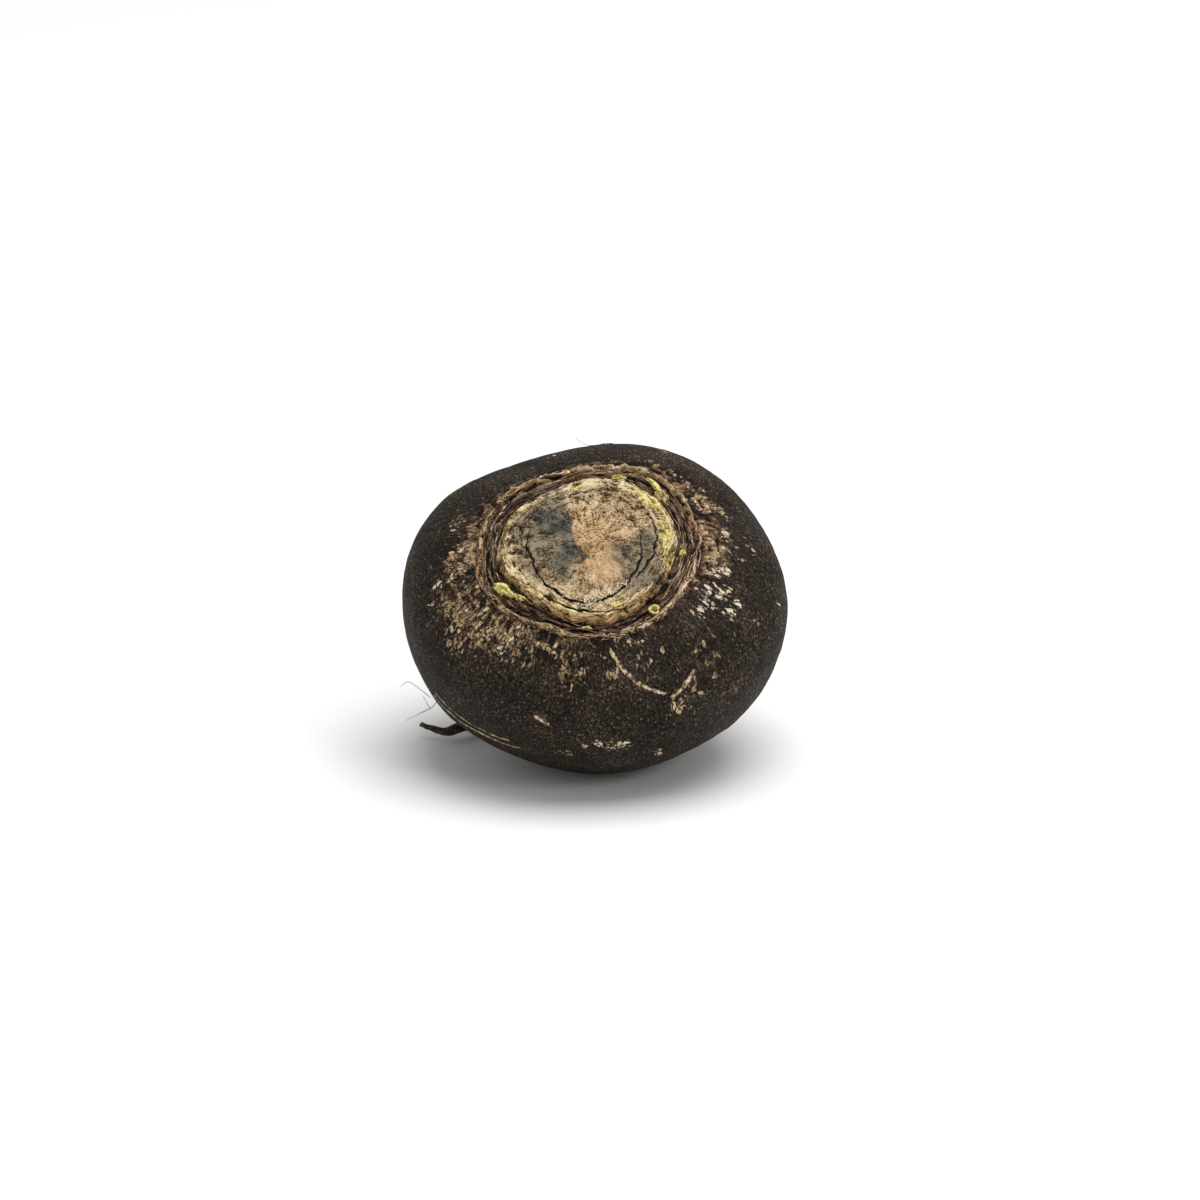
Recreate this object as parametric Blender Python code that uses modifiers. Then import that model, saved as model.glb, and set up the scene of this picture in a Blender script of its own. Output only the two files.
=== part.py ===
"""A whole round black radish, lifted and trimmed of its leaves, lying as it rests on a table.

The root grew as one piece, so it is one solid: the squat body, the corky crown plate in its groove, the cut
leaf stalks round the plate, the thin taproot and a few rootlets. It is modelled about its growth axis, with Z up
through the crown, and then tipped over towards -Y to the way it lies. Sizes are millimetres and angles are
degrees, and points become metres where they are made. An azimuth of 0 is the right-hand side, 90 the back.
"""
import math

import bmesh
import bpy
from mathutils import Matrix, Vector

MM = 0.001

# How the root lies: its centre above the table, and the tip and lean of its growth axis
BODY_CENTRE = (-1.8, 2.0, 39.2)
TIP_FORWARD = 33.0
LEAN_RIGHT = 2.9

# Body: a squat turned form, squarer than an ellipse
EQUATOR_RADIUS = 46.6
CROWN_HEIGHT = 26.2
ROOT_HEIGHT = 34.5
FULLNESS = 2.2
SHOULDER_LATITUDE = 37.0
NECK_LATITUDE = -80.0
FLANK_POINTS = 35
TURN_STEPS = 78

# Swellings and hollows of the flesh: azimuth, latitude, height, spread
SWELLINGS = (
    (65, 12, 3.0, 26),
    (110, 12, -3.7, 24),
    (150, 15, 1.2, 26),
    (190, 0, 0.7, 25),
    (-5, 0, 2.9, 28),
    (-90, -20, -3.0, 30),
    (-145, -18, -2.8, 28),
    (-40, -20, -0.9, 26),
    (-90, -48, 2.2, 24),
    (0, -50, 1.6, 26),
    (-90, -80, 4.0, 20),
)
DIMPLE_DEPTH = 0.3

# Crown, from the middle outwards: radius, height, wobble sideways, wobble up and down, share of the plate's bays
CROWN = (
    (0.0, 24.5, 0.0, 0.0, 0.0),
    (5.0, 24.6, 0.0, 0.10, 0.0),
    (10.0, 24.6, 0.2, 0.12, 0.1),
    (14.4, 24.5, 0.4, 0.12, 0.3),
    (15.4, 24.2, 0.4, 0.10, 0.3),
    (15.9, 23.6, 0.4, 0.10, 0.3),
    (16.5, 23.9, 0.4, 0.10, 0.35),
    (19.2, 23.9, 0.3, 0.15, 0.7),
    (20.8, 24.1, 0.4, 0.20, 1.0),
    (21.6, 23.6, 0.5, 0.20, 1.0),
    (21.8, 21.9, 0.5, 0.20, 1.0),
    (22.5, 21.1, 0.4, 0.25, 0.8),
    (23.4, 21.8, 0.3, 0.25, 0.5),
    (24.0, 21.2, 0.3, 0.25, 0.4),
    (24.8, 22.1, 0.3, 0.25, 0.2),
    (25.4, 21.6, 0.3, 0.20, 0.1),
    (26.4, 22.7, 0.4, 0.20, 0.0),
    (27.2, 22.3, 0.4, 0.15, 0.0),
)
PLATE_RADIUS = 21.7
WOBBLE_WAVES = (2, 3, 5, 8, 13)
SIDEWAYS_PHASE = 0.9
UPWARD_PHASE = 2.3
PHASE_STEP = 0.06
SAME_PLACE = 0.01

# Bays and corners of the cork plate's outline: azimuth, distance outwards, spread
PLATE_BAYS = (
    (28, 1.0, 14),
    (125, -0.9, 12),
    (197, 0.7, 9),
    (222, -1.9, 12),
    (312, -3.1, 24),
    (352, -1.3, 12),
)

# Neck, where the body runs out into the taproot: radius, height
NECK = (
    (4.6, -34.7),
    (3.4, -36.2),
    (2.9, -38.0),
    (0.0, -38.0),
)

# Cut leaf stalks: azimuth, radius, length round the crown, width, height of the top
LEAF_STUBS = (
    (209.0, 23.6, 5.2, 3.4, 23.9),
    (219.0, 22.9, 3.4, 1.7, 23.2),
    (-0.8, 22.9, 1.5, 1.5, 23.4),
    (-91.7, 23.7, 2.4, 1.2, 22.7),
    (75.0, 22.3, 2.8, 1.3, 23.9),
    (106.0, 25.8, 1.5, 1.2, 22.9),
    (189.0, 22.9, 2.6, 1.7, 23.9),
)
HOLLOW_STUB = (-47.5, 23.2, 3.0, 2.7, 23.3)
HOLLOW_BORE = 0.6
HOLLOW_DEPTH = 1.2
STUB_BASE_HEIGHT = 19.5
STUB_SIDES = 10
STUB_TAPER = 0.8

# The stalk that lies along the groove: azimuth, radius, height, half its thickness
LYING_STALK = (
    (58.0, 26.0, 22.6, 0.7),
    (52.0, 25.4, 22.9, 1.0),
    (46.0, 24.7, 22.8, 1.1),
    (40.5, 24.1, 22.7, 1.2),
    (36.0, 23.6, 22.3, 0.8),
)

# Taproot: places of its middle line above the table, with its radius
TAPROOT = (
    (-3.5, 23.8, 5.7, 2.7),
    (-4.4, 26.2, 3.9, 2.4),
    (-7.8, 27.6, 3.1, 2.1),
    (-13.5, 27.0, 2.7, 1.8),
    (-20.5, 22.5, 2.5, 1.55),
    (-27.5, 16.5, 2.6, 1.35),
    (-34.0, 11.0, 2.7, 1.2),
    (-37.0, 9.5, 2.2, 1.1),
    (-39.6, 10.0, 2.3, 0.95),
    (-44.6, 12.0, 3.4, 0.7),
)
FORK = (
    (-40.2, 10.3, 2.3, 0.5),
    (-37.6, 9.0, 3.6, 0.5),
    (-35.4, 9.6, 4.9, 0.45),
)
ROUTE_POINTS_PER_SPAN = 3
SIDES_PER_QUARTER = 2

# Rootlets round the neck: azimuth, latitude, length, turn of the tip, radius
ROOTLETS = (
    (75, -70, 9.0, 50, 0.50),
    (150, -62, 7.0, -40, 0.45),
    (20, -64, 8.0, -60, 0.45),
    (110, -52, 6.0, 70, 0.40),
)
ROOTLET_SINK = 1.6

# Table cutter
CUTTER_WIDTH = 140.0
CUTTER_DEPTH = 20.0


def point(x, y, z):
    """A place in metres from millimetres."""
    return Vector((x * MM, y * MM, z * MM))


def direction(azimuth, latitude):
    """The unit direction from the root's centre."""
    a, b = math.radians(azimuth), math.radians(latitude)
    return Vector((math.cos(b) * math.cos(a), math.cos(b) * math.sin(a), math.sin(b)))


def lie():
    """The matrix that lays the upright root down on the table."""
    tip = Matrix.Rotation(math.radians(TIP_FORWARD), 4, "X")
    lean = Matrix.Rotation(math.radians(LEAN_RIGHT), 4, "Y")
    return Matrix.Translation(point(*BODY_CENTRE)) @ lean @ tip


def flank_reach(latitude):
    """Distance from the centre to the plain turned flank, in millimetres."""
    height = CROWN_HEIGHT if latitude > 0 else ROOT_HEIGHT
    across = abs(math.cos(math.radians(latitude))) / EQUATOR_RADIUS
    along = abs(math.sin(math.radians(latitude))) / height
    return (across ** FULLNESS + along ** FULLNESS) ** (-1 / FULLNESS)


def swelling(way):
    """How far the flesh stands out from the turned form in a direction, in millimetres."""
    height = 0.0
    for azimuth, latitude, rise, spread in SWELLINGS:
        away = math.degrees(way.angle(direction(azimuth, latitude)))
        height += rise * math.exp(-0.5 * (away / spread) ** 2)
    return height


def dimples(azimuth, latitude):
    """Shallow unevenness of the skin, in millimetres, none at the crown."""
    fade = min(max((60 - latitude) / 30, 0), 1)
    a, b = math.radians(azimuth), math.radians(latitude)
    ripple = math.sin(5 * a + 3 * b + 1.3) * math.sin(6 * b - 2 * a)
    return DIMPLE_DEPTH * fade * math.cos(b) * ripple


def wobble(azimuth, phase):
    """An uneven wave between about -1 and 1 that closes on itself round the crown."""
    a = math.radians(azimuth)
    return sum(math.sin(n * a + phase * n) / math.sqrt(n) for n in WOBBLE_WAVES) / 2


def plate_bay(azimuth):
    """How far the plate's edge stands outside its round, in millimetres."""
    shift = 0.0
    for middle, out, spread in PLATE_BAYS:
        away = (azimuth - middle + 180) % 360 - 180
        shift += out * math.exp(-0.5 * (away / spread) ** 2)
    return shift


def turned_profile():
    """Radius and height of the profile, from the crown's middle down to the end of the neck."""
    points = [row[:2] for row in CROWN]
    for i in range(FLANK_POINTS + 1):
        latitude = SHOULDER_LATITUDE + (NECK_LATITUDE - SHOULDER_LATITUDE) * i / FLANK_POINTS
        reach = flank_reach(latitude)
        points.append((reach * math.cos(math.radians(latitude)), reach * math.sin(math.radians(latitude))))
    return points + list(NECK)


def crown_shift(radius, height, azimuth):
    """Sideways and upward shift of a crown point, in millimetres."""
    for station, (at, top, aside, up, share) in enumerate(CROWN):
        if abs(at - radius) < SAME_PLACE and abs(top - height) < SAME_PLACE:
            sideways = share * plate_bay(azimuth) + aside * wobble(azimuth, SIDEWAYS_PHASE + PHASE_STEP * station)
            return sideways, up * wobble(azimuth, UPWARD_PHASE + PHASE_STEP * station)
    return 0.0, 0.0


def grown(place):
    """Moves a place of the turned form, in metres, to where the flesh really is."""
    radius, height = math.hypot(place.x, place.y) / MM, place.z / MM
    azimuth = math.degrees(math.atan2(place.y, place.x))
    aside, up = crown_shift(radius, height, azimuth)
    latitude = math.degrees(math.atan2(height, radius))
    way = place.normalized()
    out = swelling(way) + dimples(azimuth, latitude)
    turned = direction(azimuth, 0) * (radius + aside)
    return point(turned.x, turned.y, height + up) + way * out * MM


def surface(azimuth, latitude):
    """A place on the finished flank, upright, in metres."""
    return grown(direction(azimuth, latitude) * flank_reach(latitude) * MM)


def new_collection(name):
    """A collection in the scene."""
    collection = bpy.data.collections.new(name)
    bpy.context.scene.collection.children.link(collection)
    return collection


def new_material(name, colour, roughness):
    """A matt plant surface with a linear colour."""
    material = bpy.data.materials.new(name)
    material.use_nodes = True
    shader = material.node_tree.nodes["Principled BSDF"]
    shader.inputs["Base Color"].default_value = (*colour, 1)
    shader.inputs["Roughness"].default_value = roughness
    shader.inputs["Metallic"].default_value = 0.0
    return material


def materials():
    """The root's materials, by name."""
    return {
        "skin": new_material("black_skin", (0.030, 0.024, 0.019), 0.85),
        "cork": new_material("crown_cork", (0.36, 0.24, 0.13), 0.90),
        "stalk": new_material("leaf_stalk", (0.52, 0.50, 0.15), 0.60),
        "root": new_material("root_fibre", (0.045, 0.026, 0.018), 0.85),
    }


def made_mesh(obj):
    """Replaces an object's mesh, curve or modifiers by the welded mesh that they give."""
    depsgraph = bpy.context.evaluated_depsgraph_get()
    mesh = bpy.data.meshes.new_from_object(obj.evaluated_get(depsgraph))
    bm = bmesh.new()
    bm.from_mesh(mesh)
    bmesh.ops.remove_doubles(bm, verts=bm.verts, dist=0.00001)
    bmesh.ops.recalc_face_normals(bm, faces=bm.faces)
    bm.to_mesh(mesh)
    bm.free()
    solid = bpy.data.objects.new(obj.name + "_solid", mesh)
    solid.matrix_world = obj.matrix_world
    for collection in obj.users_collection:
        collection.objects.link(solid)
    bpy.data.objects.remove(obj)
    return solid


def body(collection, looks):
    """The turned, swollen and tipped body with its crown plate and neck."""
    bm = bmesh.new()
    verts = [bm.verts.new(point(radius, 0, height)) for radius, height in turned_profile()]
    for upper, lower in zip(verts, verts[1:]):
        bm.edges.new((upper, lower))
    mesh = bpy.data.meshes.new("profile")
    bm.to_mesh(mesh)
    bm.free()
    turned = bpy.data.objects.new("turned", mesh)
    collection.objects.link(turned)
    screw = turned.modifiers.new("Turn", "SCREW")
    screw.steps = TURN_STEPS
    screw.render_steps = TURN_STEPS
    screw.use_merge_vertices = True
    screw.merge_threshold = 0.00001
    solid = made_mesh(turned)
    for vert in solid.data.vertices:
        vert.co = grown(vert.co)
    solid.data.materials.append(looks["skin"])
    solid.data.materials.append(looks["cork"])
    for face in solid.data.polygons:
        middle = face.center / MM
        on_plate = math.hypot(middle.x, middle.y) < PLATE_RADIUS and middle.z > 0
        face.material_index = 1 if on_plate else 0
    solid.matrix_world = lie()
    return solid


def stub(collection, looks, azimuth, radius, length, width, top):
    """A cut leaf stalk: a tapered peg with its foot sunk in the crown's groove."""
    depth = (top - STUB_BASE_HEIGHT) * MM
    bpy.ops.mesh.primitive_cone_add(
        vertices=STUB_SIDES, radius1=0.5 * MM, radius2=0.5 * STUB_TAPER * MM, depth=depth)
    peg = bpy.context.object
    middle = direction(azimuth, 0) * radius
    turn = Matrix.Rotation(math.radians(azimuth), 4, "Z")
    stretch = Matrix.Diagonal((width, length, 1, 1))
    place = Matrix.Translation(point(middle.x, middle.y, STUB_BASE_HEIGHT) + Vector((0, 0, depth / 2)))
    lift = grown(point(middle.x, middle.y, top)) - point(middle.x, middle.y, top)
    peg.data.transform(stretch)
    peg.matrix_world = lie() @ Matrix.Translation(lift) @ place @ turn
    peg.data.materials.append(looks["stalk"])
    for owner in peg.users_collection:
        owner.objects.unlink(peg)
    collection.objects.link(peg)
    return peg


def hollow_stub(collection, looks):
    """The one leaf stalk that was cut across its hollow, with the hollow's mouth open."""
    azimuth, radius, _, _, top = HOLLOW_STUB
    peg = stub(collection, looks, *HOLLOW_STUB)
    bm = bmesh.new()
    bm.from_mesh(peg.data)
    mouth = max(bm.faces, key=lambda face: face.calc_center_median().z)
    bmesh.ops.inset_region(bm, faces=[mouth], thickness=HOLLOW_BORE * MM)
    pushed = bmesh.ops.extrude_discrete_faces(bm, faces=[mouth])["faces"]
    bmesh.ops.translate(bm, verts=pushed[0].verts[:], vec=(0, 0, -HOLLOW_DEPTH * MM))
    bmesh.ops.recalc_face_normals(bm, faces=bm.faces)
    bm.to_mesh(peg.data)
    bm.free()
    return peg


def smooth_route(route):
    """Points and radii of an even curve through the route's own places."""
    ends = [route[0]] + list(route) + [route[-1]]
    points = []
    for i in range(len(route) - 1):
        before, start, end, after = (Vector(ends[i + k]) for k in range(4))
        for step in range(ROUTE_POINTS_PER_SPAN):
            t = step / ROUTE_POINTS_PER_SPAN
            points.append(0.5 * (2 * start + (end - before) * t
                                 + (2 * before - 5 * start + 4 * end - after) * t ** 2
                                 + (3 * start - before - 3 * end + after) * t ** 3))
    return points + [Vector(route[-1])]


def tube(collection, look, name, route):
    """A round root or stalk along places of x, y, z and radius, with its ends filled."""
    curve = bpy.data.curves.new(name, "CURVE")
    curve.dimensions = "3D"
    curve.bevel_depth = MM
    curve.bevel_resolution = SIDES_PER_QUARTER
    curve.use_fill_caps = True
    spline = curve.splines.new("POLY")
    places = smooth_route(route)
    spline.points.add(len(places) - 1)
    for knot, place in zip(spline.points, places):
        knot.co = (*(place.xyz * MM), 1)
        knot.radius = place.w
    obj = bpy.data.objects.new(name, curve)
    collection.objects.link(obj)
    solid = made_mesh(obj)
    solid.data.materials.append(look)
    return solid


def lying_stalk_route():
    """The places of the stalk that lies in the groove."""
    route = []
    for azimuth, radius, height, half in LYING_STALK:
        place = direction(azimuth, 0) * radius
        route.append((*(lie() @ grown(point(place.x, place.y, height)) / MM), half))
    return route


def rootlet_route(azimuth, latitude, length, turn, radius):
    """Four places from inside the flesh, out of it, and round to one side."""
    matrix = lie()
    foot = matrix @ surface(azimuth, latitude)
    way = (matrix.to_3x3() @ direction(azimuth, latitude)).normalized()
    aside = Matrix.Rotation(math.radians(turn), 3, way) @ way.cross(Vector((0, 0, 1))).normalized()
    steps = ((-ROOTLET_SINK, 0), (0.15 * length, 0.1 * length), (0.22 * length, 0.5 * length), (0.1 * length, length))
    return [(*(foot / MM + way * out + aside * off), radius) for out, off in steps]


def growths(collection, looks):
    """Everything that stands out of the body: leaf stalks, taproot and rootlets."""
    for row in LEAF_STUBS:
        stub(collection, looks, *row)
    hollow_stub(collection, looks)
    tube(collection, looks["stalk"], "lying_stalk", lying_stalk_route())
    tube(collection, looks["root"], "taproot", TAPROOT)
    tube(collection, looks["root"], "fork", FORK)
    for row in ROOTLETS:
        tube(collection, looks["root"], "rootlet", rootlet_route(*row))


def joined(solid, collection):
    """Joins a collection's solids to an object and takes them away."""
    union = solid.modifiers.new("Join", "BOOLEAN")
    union.operation = "UNION"
    union.operand_type = "COLLECTION"
    union.collection = collection
    whole = made_mesh(solid)
    for obj in list(collection.objects):
        bpy.data.objects.remove(obj)
    bpy.data.collections.remove(collection)
    return whole


def rest_spot(solid, collection):
    """Cuts the flattened side that the root rests on, level with the table."""
    bpy.ops.mesh.primitive_cube_add(size=1, location=point(0, 0, -CUTTER_DEPTH / 2))
    cutter = bpy.context.object
    cutter.name = "table_cutter"
    cutter.scale = point(CUTTER_WIDTH, CUTTER_WIDTH, CUTTER_DEPTH)
    cutter.hide_render = True
    cutter.display_type = "WIRE"
    for owner in cutter.users_collection:
        owner.objects.unlink(cutter)
    collection.objects.link(cutter)
    cut = solid.modifiers.new("Rest", "BOOLEAN")
    cut.operation = "DIFFERENCE"
    cut.object = cutter


def main():
    for obj in list(bpy.data.objects):
        bpy.data.objects.remove(obj)
    radish = new_collection("black_radish")
    cutters = new_collection("cutters")
    sprouting = new_collection("growths")
    looks = materials()
    solid = body(radish, looks)
    growths(sprouting, looks)
    whole = joined(solid, sprouting)
    whole.name = "radish_root"
    whole.data.shade_smooth()
    rest_spot(whole, cutters)


main()
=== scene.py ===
"""Looks of a whole black radish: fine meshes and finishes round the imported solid, on a pale studio floor.

The root's own frame is in millimetres: z up through the crown, azimuth 0 at the right, 90 at the back.
The table frame is in metres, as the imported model's. The root lies with its crown tipped to the camera.
"""

import itertools
import logging
import math
from dataclasses import dataclass
from enum import Enum

import bmesh
import bpy
import numpy as np
from mathutils import Matrix, Vector


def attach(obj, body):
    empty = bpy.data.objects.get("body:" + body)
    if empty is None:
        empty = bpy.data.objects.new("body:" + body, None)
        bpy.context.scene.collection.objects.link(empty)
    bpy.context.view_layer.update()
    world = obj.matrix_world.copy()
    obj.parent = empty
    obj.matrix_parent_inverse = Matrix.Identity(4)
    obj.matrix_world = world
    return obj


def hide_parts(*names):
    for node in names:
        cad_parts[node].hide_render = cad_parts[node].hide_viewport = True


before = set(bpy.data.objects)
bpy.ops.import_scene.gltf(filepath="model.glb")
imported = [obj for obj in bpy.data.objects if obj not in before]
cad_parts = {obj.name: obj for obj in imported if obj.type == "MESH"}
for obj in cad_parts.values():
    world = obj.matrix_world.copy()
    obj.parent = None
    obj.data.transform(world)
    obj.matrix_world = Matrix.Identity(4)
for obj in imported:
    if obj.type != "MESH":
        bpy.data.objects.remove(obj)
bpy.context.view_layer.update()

MM = 0.001
# Millimetres along the flank for each radian of latitude
FLANK_MM = 40.0
# Numbers that scatter whole numbers evenly, for the seeded grain
CELL_FACTORS = np.array((73856093, 19349663, 83492791))
SEED_FACTOR = 2654435761
MIXERS = ((13, 15731), (11, 789221))
LARGEST = 0x7FFFFFFF
UP = np.array((0.0, 0.0, 1.0))
BODY = "root"
NODE = "radish_root"
LOG = logging.getLogger("black_radish")

Places = np.ndarray
Numbers = np.ndarray
Rows = tuple[tuple[float, ...], ...]
Piece = bpy.types.Object
Mesh = bpy.types.Mesh
Material = bpy.types.Material
Tree = bpy.types.NodeTree
Source = bpy.types.Node | bpy.types.NodeSocket | float | tuple[float, ...]


class Slot(Enum):
    """The record's material slots."""

    SKIN = "skin"
    CROWN = "crown_cork"
    STALK = "leaf_stalk"
    FIBRE = "root_fibre"


# Small mathematics


def smooth(value: Numbers, low: float, high: float) -> Numbers:
    """A soft step from 0 at low to 1 at high."""
    share = np.clip((value - low) / (high - low), 0, 1)
    return share * share * (3 - 2 * share)


def bell(away: Numbers, spread: float) -> Numbers:
    """A bell of height 1 at no distance."""
    return np.exp(-0.5 * (away / spread) ** 2)


def turn_gap(azimuth: Numbers, middle: float) -> Numbers:
    """Degrees from one azimuth round to another, between -180 and 180."""
    return (azimuth - middle + 180) % 360 - 180


def facing(azimuth: Numbers, middle: float, spread: float) -> Numbers:
    """A bell of height 1 round an azimuth, with its spread in degrees."""
    return bell(turn_gap(azimuth, middle), spread)


def bays(azimuth: Numbers, rows: Rows) -> Numbers:
    """How far an edge leaves its circle, from rows of azimuth, distance outwards and spread."""
    return sum(out * facing(azimuth, middle, spread) for middle, out, spread in rows)


def directions(azimuth: Numbers, latitude: Numbers) -> Places:
    """Unit directions from the root's centre, from angles in degrees."""
    a, b = np.radians(azimuth), np.radians(latitude)
    return np.stack([np.cos(b) * np.cos(a), np.cos(b) * np.sin(a), np.sin(b) + 0 * a], -1)


def grain(places: Places, size: float, seed: int) -> Numbers:
    """Smooth random relief between -1 and 1.

    Args:
        places: points, a row of three numbers each.
        size: the length of one swell, in the points' unit.
        seed: another number gives another pattern.

    Returns:
        One number for each point.
    """
    scaled = places / size + 31.7 * seed
    cell = np.floor(scaled).astype(np.int64)
    part = scaled - cell
    part = part ** 3 * (part * (part * 6 - 15) + 10)
    total = np.zeros(len(places))
    for corner in itertools.product((0, 1), repeat=3):
        key = ((cell + corner) * CELL_FACTORS).astype(np.int64)
        mixed = (key[:, 0] ^ key[:, 1] ^ key[:, 2] ^ (seed * SEED_FACTOR)) & LARGEST
        for shift, factor in MIXERS:
            mixed = ((mixed >> shift) ^ mixed) * factor & LARGEST
        value = mixed / (LARGEST // 2) - 1
        total += value * np.prod(np.where(corner, part, 1 - part), axis=1)
    return total


def rough(places: Places, size: float, seed: int, octaves: int = 3) -> Numbers:
    """Layers of grain, each half as large and half as high as the one before."""
    return sum(grain(places, size / 2 ** i, seed + 7 * i) / 2 ** i for i in range(octaves))


def ridged(places: Places, size: float, seed: int, octaves: int = 2) -> Numbers:
    """Layers of folds between 0 and 1, with sharp crests, as of strands or dried skin."""
    layers = (np.abs(grain(places, size / 2 ** i, seed + 7 * i)) for i in range(octaves))
    total = sum((1 - 2.2 * layer) / 2 ** i for i, layer in enumerate(layers))
    return np.clip(total / (2 - 2.0 ** (1 - octaves)), 0, 1)


def through(rows: Numbers, at: Numbers) -> Numbers:
    """A smooth curve through rows of numbers.

    Args:
        rows: one row for each station.
        at: how many stations along, with fractions.

    Returns:
        A row for each place along.
    """
    rows = np.asarray(rows, float)
    last = len(rows) - 1
    first = np.clip(np.floor(at).astype(int), 0, last - 1)
    t = (at - first)[:, None]
    before, start, end, after = (rows[np.clip(first + k, 0, last)] for k in (-1, 0, 1, 2))
    return 0.5 * (2 * start + (end - before) * t
                  + (2 * before - 5 * start + 4 * end - after) * t ** 2
                  + (3 * start - before - 3 * end + after) * t ** 3)


# Meshes


def fine_ball(name: str, around: int = 66, rings: int = 23, cuts: int = 7) -> Mesh:
    """A closed ball of radius 1 with close, even rows, to be shaped by moving its vertices.

    Args:
        name: the mesh's name.
        around: columns of the coarse ball.
        rings: rows of the coarse ball.
        cuts: how many times each edge is cut.

    Returns:
        The mesh.
    """
    bm = bmesh.new()
    bmesh.ops.create_uvsphere(bm, u_segments=around, v_segments=rings, radius=1)
    bmesh.ops.subdivide_edges(bm, edges=bm.edges[:], cuts=cuts, use_grid_fill=True)
    bmesh.ops.triangulate(bm, faces=[face for face in bm.faces if len(face.verts) > 4])
    mesh = bpy.data.meshes.new(name)
    bm.to_mesh(mesh)
    bm.free()
    return mesh


def upright_tube(sides: int, cuts: int, capped: bool) -> bmesh.types.BMesh:
    """An upright tube of radius and height 1, cut into rows along its height.

    Args:
        sides: how many sides it has.
        cuts: how many times each upright edge is cut.
        capped: whether its ends are closed.

    Returns:
        The tube, to be shaped further.
    """
    bm = bmesh.new()
    bmesh.ops.create_cone(bm, cap_ends=capped, segments=sides, radius1=1, radius2=1, depth=1)
    upright = [edge for edge in bm.edges if abs(edge.verts[0].co.z - edge.verts[1].co.z) > 0.5]
    bmesh.ops.subdivide_edges(bm, edges=upright, cuts=cuts)
    return bm


def read_places(mesh: Mesh) -> Places:
    """The mesh's vertices, a row each."""
    flat = np.empty(len(mesh.vertices) * 3)
    mesh.vertices.foreach_get("co", flat)
    return flat.reshape(-1, 3)


def write_places(mesh: Mesh, places: Places) -> None:
    """Moves the mesh's vertices."""
    mesh.vertices.foreach_set("co", places.ravel())
    mesh.update()


def add_numbers(mesh: Mesh, name: str, values: Numbers) -> None:
    """Gives each vertex a number, or a row of three, that the finish reads."""
    kind = "FLOAT" if values.ndim == 1 else "FLOAT_VECTOR"
    layer = mesh.attributes.new(name, kind, "POINT")
    layer.data.foreach_set("value" if values.ndim == 1 else "vector", values.astype(np.float32).ravel())


def finished(name: str, mesh: Mesh, material: Material) -> Piece:
    """Puts a piece in the scene, on the root's body, in place of its solid.

    Args:
        name: the piece's name.
        mesh: its mesh, in place on the table.
        material: its finish.

    Returns:
        The piece.
    """
    mesh.shade_smooth()
    mesh.materials.clear()
    mesh.materials.append(material)
    piece = bpy.data.objects.new(name, mesh)
    bpy.context.scene.collection.objects.link(piece)
    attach(piece, BODY)
    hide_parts(NODE)
    LOG.info("%s: %d vertices", name, len(mesh.vertices))
    return piece


def tubes(name: str, routes: list[Places], points_per_span: int = 4, sides: int = 2) -> Mesh:
    """Round strands along smooth routes, closed at their ends.

    Args:
        name: the mesh's name.
        routes: for each strand, rows of x, y, z and radius, in millimetres on the table.
        points_per_span: points between two rows of a route.
        sides: the curve's bevel resolution.

    Returns:
        One mesh with all strands.
    """
    curve = bpy.data.curves.new(name, "CURVE")
    curve.dimensions = "3D"
    curve.bevel_depth = MM
    curve.bevel_resolution = sides
    curve.use_fill_caps = True
    for route in routes:
        at = np.linspace(0, len(route) - 1, (len(route) - 1) * points_per_span + 1)
        rows = through(route, at)
        spline = curve.splines.new("POLY")
        spline.points.add(len(rows) - 1)
        for knot, (x, y, z, radius) in zip(spline.points, rows):
            knot.co = (x * MM, y * MM, z * MM, 1)
            knot.radius = radius
    holder = bpy.data.objects.new(name, curve)
    bpy.context.scene.collection.objects.link(holder)
    mesh = bpy.data.meshes.new_from_object(holder.evaluated_get(bpy.context.evaluated_depsgraph_get()))
    bpy.data.objects.remove(holder)
    bm = bmesh.new()
    bm.from_mesh(mesh)
    bmesh.ops.remove_doubles(bm, verts=bm.verts, dist=0.000002)
    bmesh.ops.recalc_face_normals(bm, faces=bm.faces)
    bm.to_mesh(mesh)
    bm.free()
    mesh.name = name
    return mesh


# The grown form


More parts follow.
